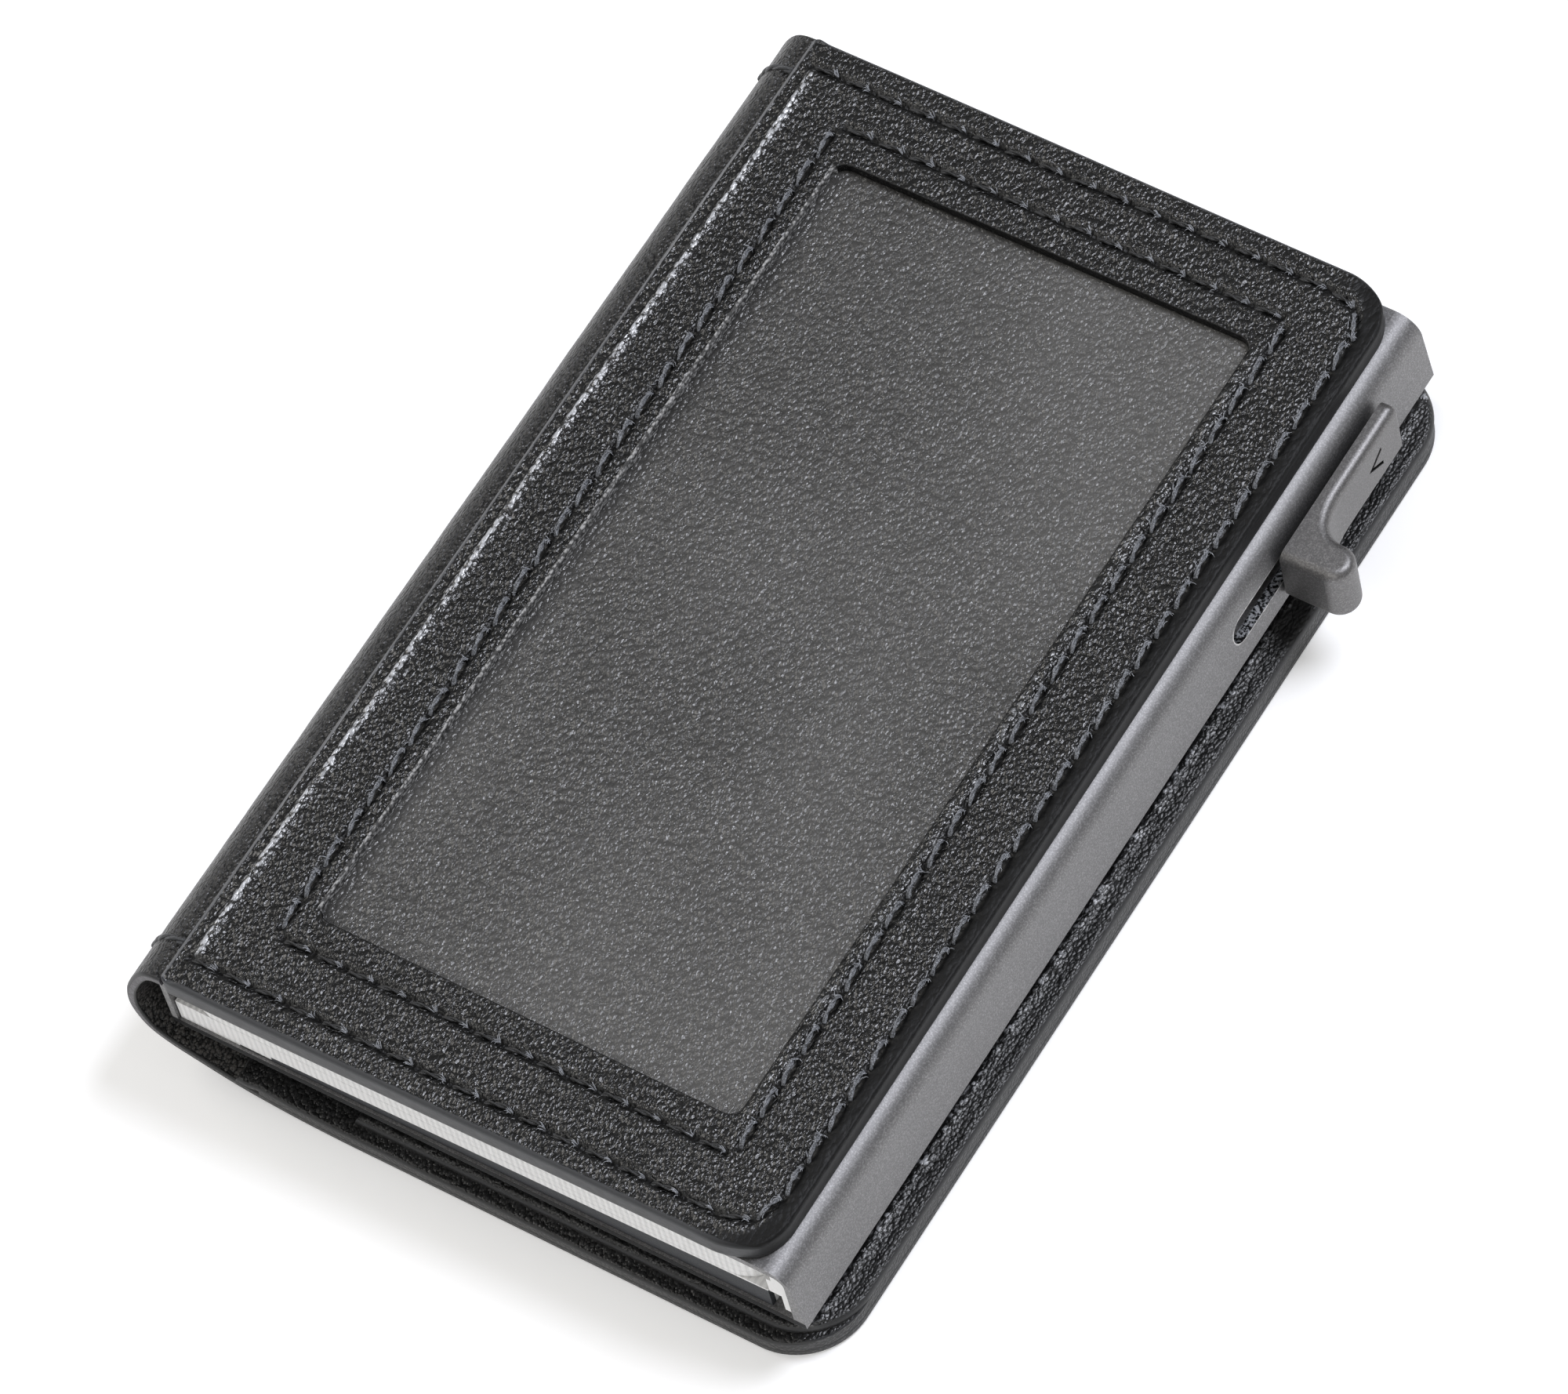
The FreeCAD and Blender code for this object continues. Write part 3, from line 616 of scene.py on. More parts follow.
def ribbed_white(name, colour, rough, ribs=True):
    """White stock. Its edge has fine upright ribs, which repeat along X, with painted shade in the
    grooves between them.
    """
    s = Shader(name)
    fibre = s.noise(s.place((1, 1, 0.3)), 5.0, 3.0)
    height = s.times(fibre, 0.012)
    tone = s.mix(s.times(fibre, 0.3), colour, grey(colour[0] * 0.8, -0.01))
    if ribs:
        x = s.node("SeparateXYZ", {0: s.place()}).outputs[0]
        wave = s.math("SINE", s.times(x, 2 * math.pi / RIB_PITCH))
        height = s.plus(height, s.times(wave, RIB_DEPTH))
        # Painted shade: darker in the grooves between the ribs.
        between = s.minus(1.0, s.remap(wave, -0.9, 0.2))
        tone = s.mix(s.times(between, 0.55), tone, grey(colour[0] * 0.72))
    s.relief(height)
    return s.set(colour=tone, rough=rough, specular=0.4)


def thread_material(name, dark, light):
    """Twisted polyester: fine lighter filaments over a dark core."""
    s = Shader(name)
    at = s.place()
    strands = s.noise(at, 9.0, 3.0, 0.7)
    s.relief(s.times(strands, 0.05))
    tone = s.mix(s.remap(strands, 0.42, 0.68), dark, light)
    tone = s.mix(s.times(s.noise(at, 0.4, 2.0), 0.3), tone, light)
    return s.set(colour=tone, rough=0.42, specular=0.6, sheen=0.15, sheen_rough=0.5)


def film_material(name):
    """Clear flexible film: nearly invisible, with soft reflections and a cloudy haze."""
    s = Shader(name)
    at = s.place()
    waves = s.noise(at, 0.05, 2.0)
    grain = s.cells(s.wobble(at, 3.0, 0.25), 1 / 0.45)
    s.relief(s.plus(s.times(waves, 1.2), s.times(grain, -0.03)))
    clouds = s.noise(s.place((1.0, 0.55, 1.0), 0.4), 0.042, 1.0)
    haze = s.remap(clouds, 0.3, 0.72, 0.035, 0.085)
    return s.set(colour=grey(0.5, -0.03), rough=0.28, specular=0.5, alpha=haze)


def plain_material(name, colour, rough, per_mm=3.0, depth=0.02, metal=0.0, variation=0.3, sheen=0.0):
    """A plainer piece's finish: its colour with fine noise in tone and height."""
    s = Shader(name)
    noise = s.noise(s.place(), per_mm, 3.0, 0.6)
    s.relief(s.times(noise, depth))
    tone = s.mix(s.times(noise, variation), colour, brighter(colour, 1.8))
    roughness = s.plus(rough - 0.05, s.times(noise, 0.1))
    return s.set(colour=tone, rough=roughness, metal=metal, sheen=sheen)


def fibre_board(name):
    """Bonded fibre with a brushed direction."""
    s = Shader(name)
    fibres = s.noise(s.place((0.4, 3.0, 3.0)), 2.4, 4.0, 0.7)
    s.relief(s.times(fibres, 0.04))
    tone = s.mix(fibres, grey(0.02), (0.075, 0.066, 0.06, 1))
    return s.set(colour=tone, rough=0.85, specular=0.25)


RIM = grey(0.034, 0.1)
DARK_RIM = grey(0.02, 0.04)
front_grain = leather("front_pebble", grey(0.0012), grey(0.0045, 0.02), 0.36, 0.085, 0.27, 0.66, RIM)
spine_grain = leather("spine_fine_grain", grey(0.002), (0.017, 0.0158, 0.0145, 1), 0.28, 0.13, 0.34,
                      0.6, DARK_RIM)
lining_grain = leather("lining_pebble", grey(0.006), grey(0.019, 0.04), 0.26, 0.045, 0.35, 0.62, DARK_RIM)
window_grain = leather("window_sheet", (0.004, 0.0039, 0.0038, 1), (0.026, 0.0252, 0.0249, 1), 0.36,
                       0.09, 0.29, 0.75, grey(0.05))
inner_grain = leather("spine_inside", grey(0.014), (0.085, 0.08, 0.076, 1), 0.24, 0.07, 0.45, 0.5,
                      DARK_RIM)
flesh_side = plain_material("leather_flesh_side", (0.022, 0.021, 0.02, 1), 0.8, 6.0, 0.05)
edge_paint = painted_edge("edge_paint", grey(0.034, 0.08), painted_shade_from_x=FRONT[1] - 0.4)
cover_edge = painted_edge("cover_edge_paint", (0.08, 0.077, 0.083, 1), grey(0.02), specks=0.07)
# Raw cut edge: lighter than the grain, and on the window's lit left edge also a painted highlight.
raw_edge_and_painted_highlight = leather("raw_cut_edge_painted_highlight", grey(0.06), grey(0.4), 0.24, 0.05, 0.6, 0.3, grey(0.2))
film_finish = film_material("clear_film")
thread_finish = thread_material("thread", grey(0.006, 0.1), grey(0.075, 0.12))
# Shaded and lit copies of the thread: painted shade for stitches along X, painted light for those along
# Y.
painted_shade_thread = thread_material("thread_in_shade", grey(0.003, 0.1), grey(0.022, 0.12))
painted_light_thread = thread_material("thread_in_light", grey(0.02, 0.1), grey(0.36, 0.1))
# Frayed fibres of the black thread, coloured light grey as painted glints at the lit end of each stitch.
painted_glint_fibre_finish = thread_material("loose_fibre_painted_glint", grey(0.2, 0.1), grey(0.6, 0.08))
fuzz_finish = thread_material("edge_fuzz", grey(0.09), grey(0.3, 0.03))
SLOT = (17.6, 40.25, 7.7, 10.4)     # the lever's slot in the side wall: y0, y1, z0, z1
case_low = box_mm("case_sleeve")[0]
metal_finish = blasted_metal("gunmetal", (0.19, 0.188, 0.189, 1), 0.54, grit=0.012,
                             mouth=(case_low[1] + 0.02, case_low[2] + 0.7), slot=SLOT)
lever_low, lever_high = box_mm("thumb_lever")
lever_middle = (lever_low[2] + lever_high[2]) / 2
PAD_X = 29.3                    # the flat outside of the lever's pad
ARROW_Y = (35.3, 37.5)
ARROW_HALF = 1.3
lever_finish = blasted_metal("gunmetal_dark", (0.155, 0.152, 0.151, 1), 0.48, grit=0.008,
                             arrow=(PAD_X - 0.2, PAD_X - 0.1, *ARROW_Y,
                                    lever_middle - ARROW_HALF, lever_middle + ARROW_HALF))
rib_finish = ribbed_white("ribbed_white", grey(0.86, -0.01), 0.6)
white_finish = ribbed_white("smooth_white", grey(0.84, -0.01), 0.55, ribs=False)
trim_finish = plain_material("trim_weave", grey(0.02, 0.2), 0.6, 5.0, 0.05)
felt_finish = plain_material("felt", grey(0.011, 0.2), 0.9, 7.0, 0.08, sheen=0.2)
board_finish = fibre_board("fibre_board")
plastic_finish = plain_material("moulded_plastic", grey(0.014), 0.5, 3.0, 0.08)
steel_finish = plain_material("spring_steel", (0.5, 0.5, 0.51, 1), 0.28, 0.6, 0.01, metal=1.0,
                              variation=0.1)
tape_finish = plain_material("transfer_tape", (0.5, 0.5, 0.47, 1), 0.6, 1.0, 0.02)


# ---- Front panel ----
window_row = ring_row(WINDOW_STITCH)
edge_row = open_row(EDGE_STITCH, EDGE_STITCH_CORNER, FRONT[0] + 0.9)
EDGE_ROUND = 0.55
FLAP_ROUND = 0.14
NEAR_SKEW = 0.6
FAR_SKEW = 0.3
WINDOW_ROUND = 0.16
CREASE_X = FRONT[0] + 1.5


def crease_line(y):
    return CREASE_X + 0.18 * soft_noise(y * 0, y, 14.0, 5) + 0.1 * np.sin(y / 17.0)


def edge_round(x):
    """The radius of the panel's rounded edge: small along the flap's cut edge."""
    return FLAP_ROUND + (EDGE_ROUND - FLAP_ROUND) * smooth(x, FRONT[0] + 0.1, FRONT[0] + 1.5)


def front_relief(x, y, from_edge):
    """The panel's surface below its highest plane, its gloss with a painted highlight, and how much
    painted shade darkens it, in the stitch dents and on a pressed, matte margin along the right edge.
    """
    dents, dark = stitch_dents(x, y, window_row + edge_row, 0.42)
    offset = x - crease_line(y)
    crease = np.exp(-(offset / np.where(offset > 0, 0.46, 0.28)) ** 2)
    crease = crease * (0.9 + 0.15 * soft_noise(x * 0, y, 2.2, 9))
    end_fade = plateau(y, FRONT[2] + 2.6, FRONT[2] + 3.4, FRONT[3] - 3.5, FRONT[3] - 2.0)
    crease = crease * (0.15 + 0.85 * end_fade)
    flap = 1 - smooth(x, CREASE_X - 0.9, CREASE_X + 0.2)
    band = plateau(x, WINDOW[1] - 0.1, WINDOW[1] + 0.4, WINDOW[1] + 0.6, WINDOW[1] + 1.9)
    band = band * plateau(y, WINDOW[2] - 3, WINDOW[2] + 3, WINDOW[3] - 3, WINDOW[3] + 3)
    # A pressed, matte margin along the right-hand edge, which is darkened as painted shade.
    margin = smooth(x, 19.0, 23.6) * (1 - smooth(from_edge, 1.4, 1.65))
    waves = 0.035 * soft_noise(x, y, 7.0, 1) + 0.02 * soft_noise(x, y, 2.6, 2)
    pucker = 0.1 * soft_noise(x, y, 0.9, 4) * band
    low = dents + 0.12 * flap - 0.3 * crease - 0.12 * band + waves - pucker + 0.1 + 0.08 * margin
    # Gloss with a painted highlight on the crease ridge, the crinkled band beside the window and the
    # flap.
    gloss_and_painted_highlight = crease * end_fade + 0.52 * band * (0.5 + 0.5 * soft_noise(x, y, 0.7, 6)) + 0.1 * flap
    return low, np.clip(gloss_and_painted_highlight, 0, 1), np.maximum(dark, 0.85 * margin)


def front_rim(x, y, distance):
    """1 at the panel's edge and 0 where its smooth painted margin ends."""
    # Along the right-hand side the lighter edge-paint rim almost vanishes, so that this side stays dark,
    # as painted shade.
    width = 0.85 - 0.8 * smooth(x, FRONT[1] - 4.0, FRONT[1] - 0.8)
    width = np.where(y > FRONT[3] - 3, np.minimum(0.6, width), width)
    width = np.where(x < FRONT[0] + 0.6, 0.35, width)
    return np.clip(1 - distance / width, 0, 1)


def ring_grid(inner_rect, inner_corner, outer_rect, outer_left, outer_right):
    """A band of points from a window's edge to the panel's edge, all the way round."""
    counts = (330, 620, 26)
    inner = rounded_loop(inner_rect, inner_corner, inner_corner, *counts)
    outer = rounded_loop(outer_rect, outer_left, outer_right, *counts)
    width = np.hypot(*(outer - inner).T)
    near, far = edge_steps(WINDOW_ROUND, 5), edge_steps(EDGE_ROUND, 8)
    head = near[None, :-1] / width[:, None]
    tail = 1 - (far[None, :-1] / width[:, None])[:, ::-1]
    start, stop = near[-1] / width, 1 - far[-1] / width
    middle = start[:, None] + np.linspace(0, 1, 46)[None] * (stop - start)[:, None]
    share = np.concatenate([head, middle, tail], 1)
    plan = inner[:, None] + share[..., None] * (outer - inner)[:, None]
    return plan[..., 0], plan[..., 1]


def front_place(x, y, low):
    """A place on the front panel, whose short edges aren't quite square to its long ones."""
    across = smooth(x, FRONT[0], FRONT[1])
    near = NEAR_SKEW * across * (1 - smooth(y, FRONT[2], FRONT[2] + 2.2))
    far = FAR_SKEW * across * smooth(y, FRONT[3] - 2.2, FRONT[3])
    return np.stack([x, y + near - far, FRONT_TOP - low], -1)


def mark_raw_edges(piece):
    """Gives the flap's cut edge and the window's left edge their raw, lighter finish, which on the
    window's lit left edge is also a painted highlight, and the window's other edges the grain of the
    face, darkened there by painted shade."""
    face, wall, raw = 0, 2, 3
    parts = np.zeros(len(piece.data.polygons), np.int32)
    piece.data.polygons.foreach_get("material_index", parts)
    centres = np.zeros(3 * len(parts), np.float32)
    piece.data.polygons.foreach_get("center", centres)
    x, y = (centres.reshape(-1, 3) / MM)[:, :2].T
    in_window = inside(x, y, WINDOW, WINDOW_CORNER, WINDOW_CORNER) > -0.3
    parts[(parts == wall) & in_window] = face
    left_edge = (x > WINDOW[0] - 0.26) & (x < WINDOW[0] + 0.2)
    left_edge &= (y > WINDOW[2] + 0.6) & (y < WINDOW[3] - 0.6)
    cut = (parts == wall) & (x < FRONT[0] + 0.1)
    cut |= (parts == face) & ((x < FRONT[0] + FLAP_ROUND) | left_edge)
    parts[cut] = raw
    piece.data.materials.append(raw_edge_and_painted_highlight)
    piece.data.polygons.foreach_set("material_index", parts)


def build_front_panel():
    x, y = ring_grid(WINDOW, WINDOW_CORNER, FRONT, FLAP_CORNER, FRONT_CORNER)
    from_edge = np.maximum(inside(x, y, FRONT, FLAP_CORNER, FRONT_CORNER), 0)
    from_window = np.maximum(-inside(x, y, WINDOW, WINDOW_CORNER, WINDOW_CORNER), 0)
    low, gloss_and_painted_highlight, dark = front_relief(x, y, from_edge)
    radius = edge_round(x)
    fade = smooth(from_edge, 0.0, radius)
    low = low * fade + 0.04 * (1 - fade)
    # Painted shade: a dark line along the window's far, right and near edges.
    dark = np.maximum(dark, 0.7 * (1 - smooth(from_window, 0.05, 0.2)) * (x > WINDOW[0] + 0.2))
    low = low + rounding(from_edge, radius) + rounding(from_window, WINDOW_ROUND)
    thick = front_high[2] - front_low[2]
    back = np.full_like(low, thick)
    low = np.minimum(low, thick - 0.05)
    rim = front_rim(x, y, from_edge)
    piece = slab("front_leather_panel", front_place(x, y, low), front_place(x, y, back),
                 [front_grain, flesh_side, edge_paint], rim, gloss_and_painted_highlight, dark, wrap=True)
    mark_raw_edges(piece)
    settle(piece, "card_case", "black_leather", "front_leather")


def build_front_layers():
    """The filler and the lining under the leather, flush with it, with the edge paint over all."""
    filler_low, filler_high = box_mm("front_filler")
    base_low, base_high = box_mm("front_base")
    pocket = (film_low[0], film_high[0], film_low[1], film_high[1])
    x, y = ring_grid(pocket, 0.3, FRONT, FLAP_CORNER, FRONT_CORNER)
    x, y = x[::2, [0, 25, -1]], y[::2, [0, 25, -1]]
    edge = np.maximum(inside(x, y, FRONT, FLAP_CORNER, FRONT_CORNER), 0)
    thick = filler_high[2] - filler_low[2]
    drop = FRONT_TOP - filler_high[2]
    filler = slab("front_filler_layer", front_place(x, y, drop + 0 * edge),
                  front_place(x, y, drop + thick + 0 * edge),
                  [board_finish, board_finish, edge_paint], wrap=True)
    settle(filler, "card_case", "leather_board", "front_filler")
    x, y, edge = sheet_grid(FRONT, FLAP_CORNER, FRONT_CORNER, 2.0, 0.08)
    thick = base_high[2] - base_low[2]
    drop = FRONT_TOP - base_high[2]
    base = slab("front_lining_layer", front_place(x, y, drop + 0 * edge),
                front_place(x, y, drop + thick - rounding(edge, 0.08)),
                [flesh_side, flesh_side, edge_paint])
    settle(base, "card_case", "lining_leather", "front_base")


def build_window():
    """The clear film, which bellies a little, over a grained sheet."""
    rect = (film_low[0], film_high[0], film_low[1], film_high[1])
    x, y, edge = sheet_grid(rect, 0.3, 0.3, 0.5, 0.05)
    in_window = np.maximum(inside(x, y, WINDOW, WINDOW_CORNER, WINDOW_CORNER), 0)
    swell = 0.05 * soft_noise(x, y, 16.0, 11) * smooth(in_window, 0, 6)
    belly = 0.12 * smooth(in_window, 1.0, 12.0) + swell
    drop = FRONT_TOP - film_high[2]
    film = slab("window_clear_film", front_place(x, y, drop - belly),
                front_place(x, y, drop - belly + 0.12), [film_finish] * 3)
    settle(film, "card_case", "clear_film", "window_film")
    under = FRONT_TOP - box_mm("window_backing")[1][2]
    sheet = slab("window_grained_sheet", front_place(x, y, under - belly),
                 front_place(x, y, under + 0.45 + 0 * x), [window_grain, flesh_side, flesh_side])
    settle(sheet, "card_case", "window_leather", "window_backing")


def build_front_threads():
    threads = [painted_shade_thread, painted_light_thread]
    rows = (("window_stitching", window_row, "window_thread", 21),
            ("edge_stitching", edge_row, "edge_thread", 22))
    for name, row, node, seed in rows:
        piece = thread_piece(name, row, front_place, -0.02, threads, seed=seed)
        settle(piece, "card_case", "black_thread", node)
    # Fibres at the lit end of each stitch, light grey as painted glints.
    rng = np.random.default_rng(31)
    spots = []
    for (cx, cy), (wx, wy) in window_row + edge_row:
        lit = 1 if wx + 0.3 * wy > 0 else -1
        hx, hy = cx + lit * wx * (STITCH_LENGTH / 2 + 0.1), cy + lit * wy * (STITCH_LENGTH / 2 + 0.1)
        back = math.atan2(-lit * wy, -lit * wx)
        spots += [(hx + rng.normal(0, 0.06), hy + rng.normal(0, 0.06), 0.2, back + rng.normal(0, 0.55))
                  for _ in range(7)]
        if abs(wy) > 0.7:
            spots += [(cx + rng.normal(0, 0.1), cy + rng.uniform(-1.2, 1.2), rng.uniform(-0.05, 0.1),
                       math.atan2(wy, wx) + rng.normal(0, 0.5)) for _ in range(3)]
    fibres = fibre_piece("stitch_fibres", spots, front_place, painted_glint_fibre_finish, 33, radius=0.05)
    settle(fibres, "card_case", "black_thread")
    rng = np.random.default_rng(37)
    spots = [(WINDOW[0] + rng.normal(0.0, 0.05), rng.uniform(WINDOW[2] + 0.5, WINDOW[3] - 0.5),
              rng.uniform(0.2, 0.7), rng.choice((-1, 1)) * rng.uniform(0.6, 1.6)) for _ in range(520)]
    fuzz = fibre_piece("window_edge_fibres", spots, front_place, fuzz_finish, 39, length=0.3,
                       radius=0.022)
    settle(fuzz, "card_case", "black_leather")


# ---- Back cover and spine ----
class Bend:
    """The section that the cover's flat sheets are wrapped along. A place is given by how far it
    is along the section, how far along Y and how deep it is inside the cover's outside."""

    def __init__(self, points, per_span=24):
        p = np.array(points, float)
        p = np.concatenate([[2 * p[0] - p[1]], p, [2 * p[-1] - p[-2]]])
        t = np.linspace(0, 1, per_span, endpoint=False)[:, None]
        spans = []
        for a, b, c, d in zip(p, p[1:], p[2:], p[3:]):
            spans.append(0.5 * (2 * b + (c - a) * t + (2 * a - 5 * b + 4 * c - d) * t ** 2
                                + (3 * b - a - 3 * c + d) * t ** 3))
        line = np.concatenate(spans + [p[-2:-1]])
        step = np.gradient(line, axis=0)
        step = step / np.hypot(*step.T)[:, None]
        self.line, self.inward = line, np.stack([step[:, 1], -step[:, 0]], 1)
        self.along = np.concatenate([[0], np.cumsum(np.hypot(*np.diff(line, axis=0).T))])
        self.knots = self.along[::per_span]

    def place(self, u, v, deep):
        x, z, nx, nz = (np.interp(u, self.along, c) for c in (*self.line.T, *self.inward.T))
        return np.stack([x + deep * nx, v + 0 * u, z + deep * nz], -1)

    def where_x(self, x):
        """How far along the section the flat back reaches a given x."""
        flat = self.along < self.knots[9]
        return float(np.interp(-x, -self.line[flat, 0], self.along[flat]))


bend = Bend(COVER_PROFILE)
cover_row_flat = open_row(COVER_STITCH, 3.5, COVER_STITCH[0] - THREAD_HALF)
cover_row = [(np.array((bend.where_x(centre[0]), centre[1])), np.array((-way[0], way[1])))
             for centre, way in cover_row_flat]
LINING_LEFT = -25.2
BOARD_LEFT = -23.0


def build_cover_leather():
    """The outer leather in two pieces that meet on the spine."""
    middle = bend.knots[SPINE_MIDDLE]
    halves = (("cover_leather_lower", 0.0, middle, COVER_CORNER, 0.45),
              ("cover_leather_upper", middle, bend.along[-1], 0.0, 0.22))
    for name, start, stop, corner, step in halves:
        lower = start == 0.0
        rect = (start, stop, -HALF_LENGTH, HALF_LENGTH)
        u, v, edge = sheet_grid(rect, corner, 0.0, step, 0.35, (lower, False))
        dents, dark = stitch_dents(u, v, cover_row, 0.2) if lower else (0 * u, 0 * u)
        waves = 0.03 * soft_noise(u, v, 6.0, 41) + 0.012 * soft_noise(u, v, 2.0, 42)
        fade = smooth(edge, 0, 1.5)
        outer = (dents + waves) * fade + rounding(edge, 0.3)
        outer = np.maximum(outer, 0.0) if lower else outer
        inner = COVER_LEATHER - rounding(edge, 0.16)
        rim = np.clip(1 - edge / 0.5, 0, 1)
        piece = slab(name, bend.place(u, v, outer), bend.place(u, v, inner),
                     [spine_grain, inner_grain, cover_edge], rim, dent_and_painted_shade=dark)
        if lower:
            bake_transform(piece)
            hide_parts("back_leather", "spine_leather")
        else:
            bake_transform(piece)
            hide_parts("spine_shoulder")


def build_cover_layers():
    """Board, lining and pocket, each laid inside the one before."""
    left = bend.where_x(LINING_LEFT)
    board_left = bend.where_x(BOARD_LEFT)
    pocket_left = bend.where_x(box_mm("pocket_panel")[0][0])
    depth = COVER_LEATHER
    board_rect = (0.0, board_left, -HALF_LENGTH, HALF_LENGTH)
    u, v, edge = sheet_grid(board_rect, COVER_CORNER, 0.0, 2.0, 0.06)
    board = slab("cover_board", bend.place(u, v, depth + 0 * edge),
                 bend.place(u, v, depth + COVER_BOARD + 0 * edge),
                 [board_finish, board_finish, cover_edge])
    settle(board, "back_cover", "leather_board", "back_board")
    depth += COVER_BOARD
    lining_rect = (0.0, left, -HALF_LENGTH, HALF_LENGTH)
    u, v, edge = sheet_grid(lining_rect, COVER_CORNER, 0.0, 0.5, 0.3)
    near_edge = smooth(-v, HALF_LENGTH - 1.6, HALF_LENGTH - 1.0)
    top_round = rounding(edge, 0.34) * near_edge
    waves = 0.03 * soft_noise(u, v, 5.0, 51) * smooth(edge, 0, 1.5)
    rim = np.clip(1 - edge / 0.35, 0, 1)
    bottom = depth - (COVER_BOARD - 0.02) * smooth(u, board_left + 0.1, board_left + 1.3)
    lining = slab("cover_lining", bend.place(u, v, bottom + COVER_LINING - top_round + waves),
                  bend.place(u, v, bottom), [lining_grain, flesh_side, cover_edge], rim)
    settle(lining, "back_cover", "lining_leather", "back_lining")
    depth += COVER_LINING
    pocket_rect = (0.0, pocket_left, -HALF_LENGTH + 1.2, HALF_LENGTH)
    u, v, edge = sheet_grid(pocket_rect, COVER_CORNER - 0.3, 0.0, 0.22, 0.5)
    dents, dark = stitch_dents(u, v, cover_row, 0.3)
    waves = 0.05 * soft_noise(u, v, 6.0, 61) + 0.03 * soft_noise(u, v, 2.2, 62)
    pucker = np.exp(-((u - bend.where_x(COVER_STITCH[1]) + 0.75) / 0.5) ** 2)
    ridge = pucker * (0.14 + 0.12 * soft_noise(u, v, 0.55, 63))
    height = POCKET_THICK - (dents - waves - ridge) * smooth(edge, 0, 1.2) - rounding(edge, 0.55)
    rim = np.clip(1 - edge / 0.4, 0, 1)
    # Gloss with a painted highlight on the crinkles beside the stitch row.
    gloss_and_painted_highlight = np.clip(pucker * (0.5 + 0.6 * soft_noise(u, v, 0.5, 64)), 0, 1)
    pocket = slab("cover_pocket", bend.place(u, v, depth + np.maximum(height, 0.06)),
                  bend.place(u, v, depth + 0 * u), [lining_grain, flesh_side, cover_edge], rim,
                  gloss_and_painted_highlight, dark)
    settle(pocket, "back_cover", "lining_leather", "pocket_panel")
    return depth + POCKET_THICK


def build_cover_threads(top):
    inside_threads = thread_piece("pocket_stitching", cover_row,
                                  lambda u, v, low: bend.place(u, v, top - low), 0.0,
                                  [thread_finish] * 2, seed=23, row_lift=0.1)
    settle(inside_threads, "back_cover", "black_thread", "pocket_thread")
    outside = thread_piece("cover_stitching", cover_row, bend.place, -0.21, [thread_finish] * 2, seed=24,
                           slant=-7.0, row_lift=0.0)
    settle(outside, "back_cover", "black_thread", "back_thread")


def build_spine_backstitches():
    """The thick stitches of three plies that cross the spine's shoulder at both ends of the edge
    row."""
    t = np.linspace(0, 1, 60)
    ring = np.linspace(0, 2 * math.pi, 8, endpoint=False)
    tube = closed_tube_quads(len(t), len(ring))
    u = bend.along[-1] + 0.3 - t * 6.2
    for name, y in (("spine_backstitch_near", EDGE_STITCH[2] + 0.9),
                    ("spine_backstitch_far", EDGE_STITCH[3] - 1.1)):
        points, quads = [], []
        for ply in range(3):
            angle = ply * 2 * math.pi / 3 + t * 9.0
            v = y + 0.15 * np.cos(angle)
            ends = 0.7 * smooth(t, 0.93, 1.0) + 0.5 * (1 - smooth(t, 0.0, 0.06))
            low = 0.08 - 0.15 * np.sin(angle) + ends
            fat = 0.15 + 0.015 * np.sin(13 * t + ply)
            across = v[:, None] + fat[:, None] * np.cos(ring)
            deep = low[:, None] - fat[:, None] * np.sin(ring)
            points.append(bend.place(u[:, None] + 0 * across, across, deep).reshape(-1, 3))
            quads.append(tube + ply * len(t) * len(ring))
        piece = make_piece(name, np.concatenate(points), np.concatenate(quads), [thread_finish],
                           sharp=60)
        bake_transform(piece)


# ---- CAD nodes that stay ----
FINISHES = {
    "case_sleeve": metal_finish, "end_cap": metal_finish, "thumb_lever": lever_finish,
    "card_bed": rib_finish, "side_rail": white_finish, "mouth_trim": trim_finish,
    "base_pad": felt_finish, "adhesive_sheet": tape_finish, "pusher": plastic_finish,
    "card_brake": steel_finish, "detent_spring": steel_finish, "lever_rivets": steel_finish,
    **{f"card_{number}": rib_finish for number in range(1, 5)},
}


def finish_cad_nodes():
    for name, material in FINISHES.items():
        for material_slot in nodes[name].material_slots:
            material_slot.material = material


# ---- Stage ----
LENS = 229.2
CAMERA_PLACE = (0.29328, -0.28947, 0.66824)
CAMERA_TURN = (30.912078, 8.567181, 31.812797)      # degrees about X, then Y, then Z
FLOOR_GLOW = 0.3                # the pale floor is a softly lit table, so that shadows stay light
FLOOR_HALF = 2.5
FLOOR_LEVEL = -0.0001
WORLD_STRENGTH = 0.24
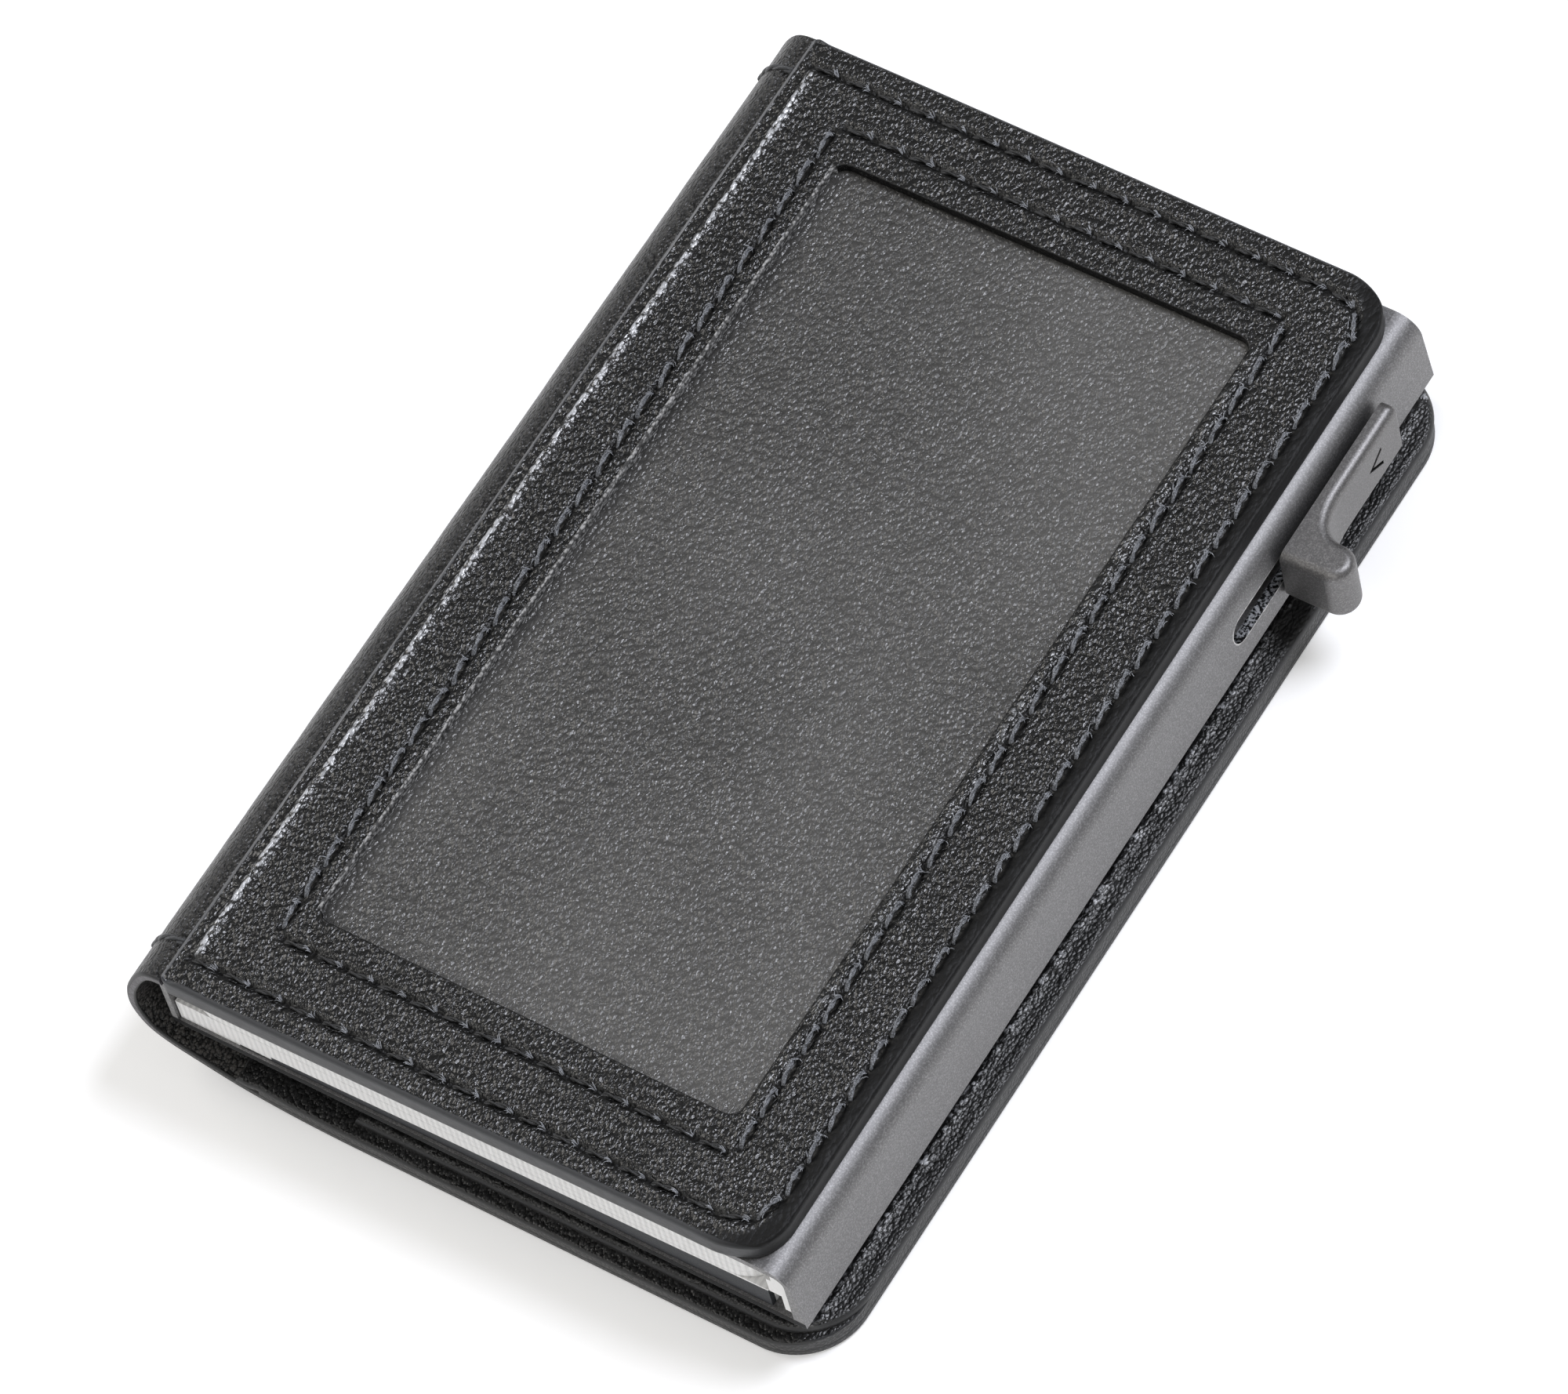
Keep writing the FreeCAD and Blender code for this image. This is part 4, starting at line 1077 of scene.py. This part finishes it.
# Each softbox: its direction from the wallet, distance, size, power and colour.
SOFTBOXES = {
    "key_softbox": ((0.32, 0.37, 0.87), 1.0, 0.42, 6.4, (0.90, 0.92, 1.0)),
    "front_fill": ((0.15, -0.70, 0.70), 1.2, 0.9, 3.6, (1.0, 0.98, 0.94)),
    "left_fill": ((-0.75, -0.05, 0.65), 1.2, 0.7, 4.6, (1.0, 0.97, 0.93)),
}


def area_light(name, toward, distance, size, power, colour):
    """A round softbox that faces the wallet from a direction."""
    light = bpy.data.lights.new(name, "AREA")
    light.shape = "DISK"
    light.size = size
    light.energy = power
    light.color = colour
    lamp = new_object(name, light)
    way = Vector(toward).normalized()
    lamp.location = way * distance
    lamp.rotation_mode = "QUATERNION"
    lamp.rotation_quaternion = way.to_track_quat("Z", "Y")


def build_stage():
    scene = bpy.context.scene
    data = bpy.data.cameras.new("camera")
    data.lens = LENS
    data.sensor_width = 36.0
    data.clip_start, data.clip_end = 0.01, 20.0
    camera = new_object("camera", data)
    camera.location = CAMERA_PLACE
    camera.rotation_euler = [math.radians(angle) for angle in CAMERA_TURN]
    scene.camera = camera

    mesh = bpy.data.meshes.new("floor")
    corners = [(x * FLOOR_HALF, y * FLOOR_HALF, FLOOR_LEVEL)
               for x, y in ((-1, -1), (1, -1), (1, 1), (-1, 1))]
    mesh.from_pydata(corners, [], [(0, 1, 2, 3)])
    floor = new_object("floor", mesh)
    paper = plain_material("pale_floor", (0.88, 0.88, 0.88, 1), 0.9, 0.05, 0.0, variation=0.02)
    glow = paper.node_tree.nodes["Principled BSDF"]
    glow.inputs["Emission Color"].default_value = (1.0, 1.0, 1.0, 1)
    glow.inputs["Emission Strength"].default_value = FLOOR_GLOW
    mesh.materials.append(paper)

    world = bpy.data.worlds.new("studio")
    world.use_nodes = True
    background = world.node_tree.nodes["Background"].inputs
    background["Color"].default_value = (1.0, 1.0, 1.0, 1)
    background["Strength"].default_value = WORLD_STRENGTH
    scene.world = world
    for name, softbox in SOFTBOXES.items():
        area_light(name, *softbox)
    scene.view_settings.view_transform = "Standard"
    scene.cycles.denoising_prefilter = "NONE"


build_front_panel()
build_front_layers()
build_window()
build_front_threads()
build_cover_leather()
build_cover_threads(build_cover_layers())
build_spine_backstitches()
finish_cad_nodes()
build_stage()
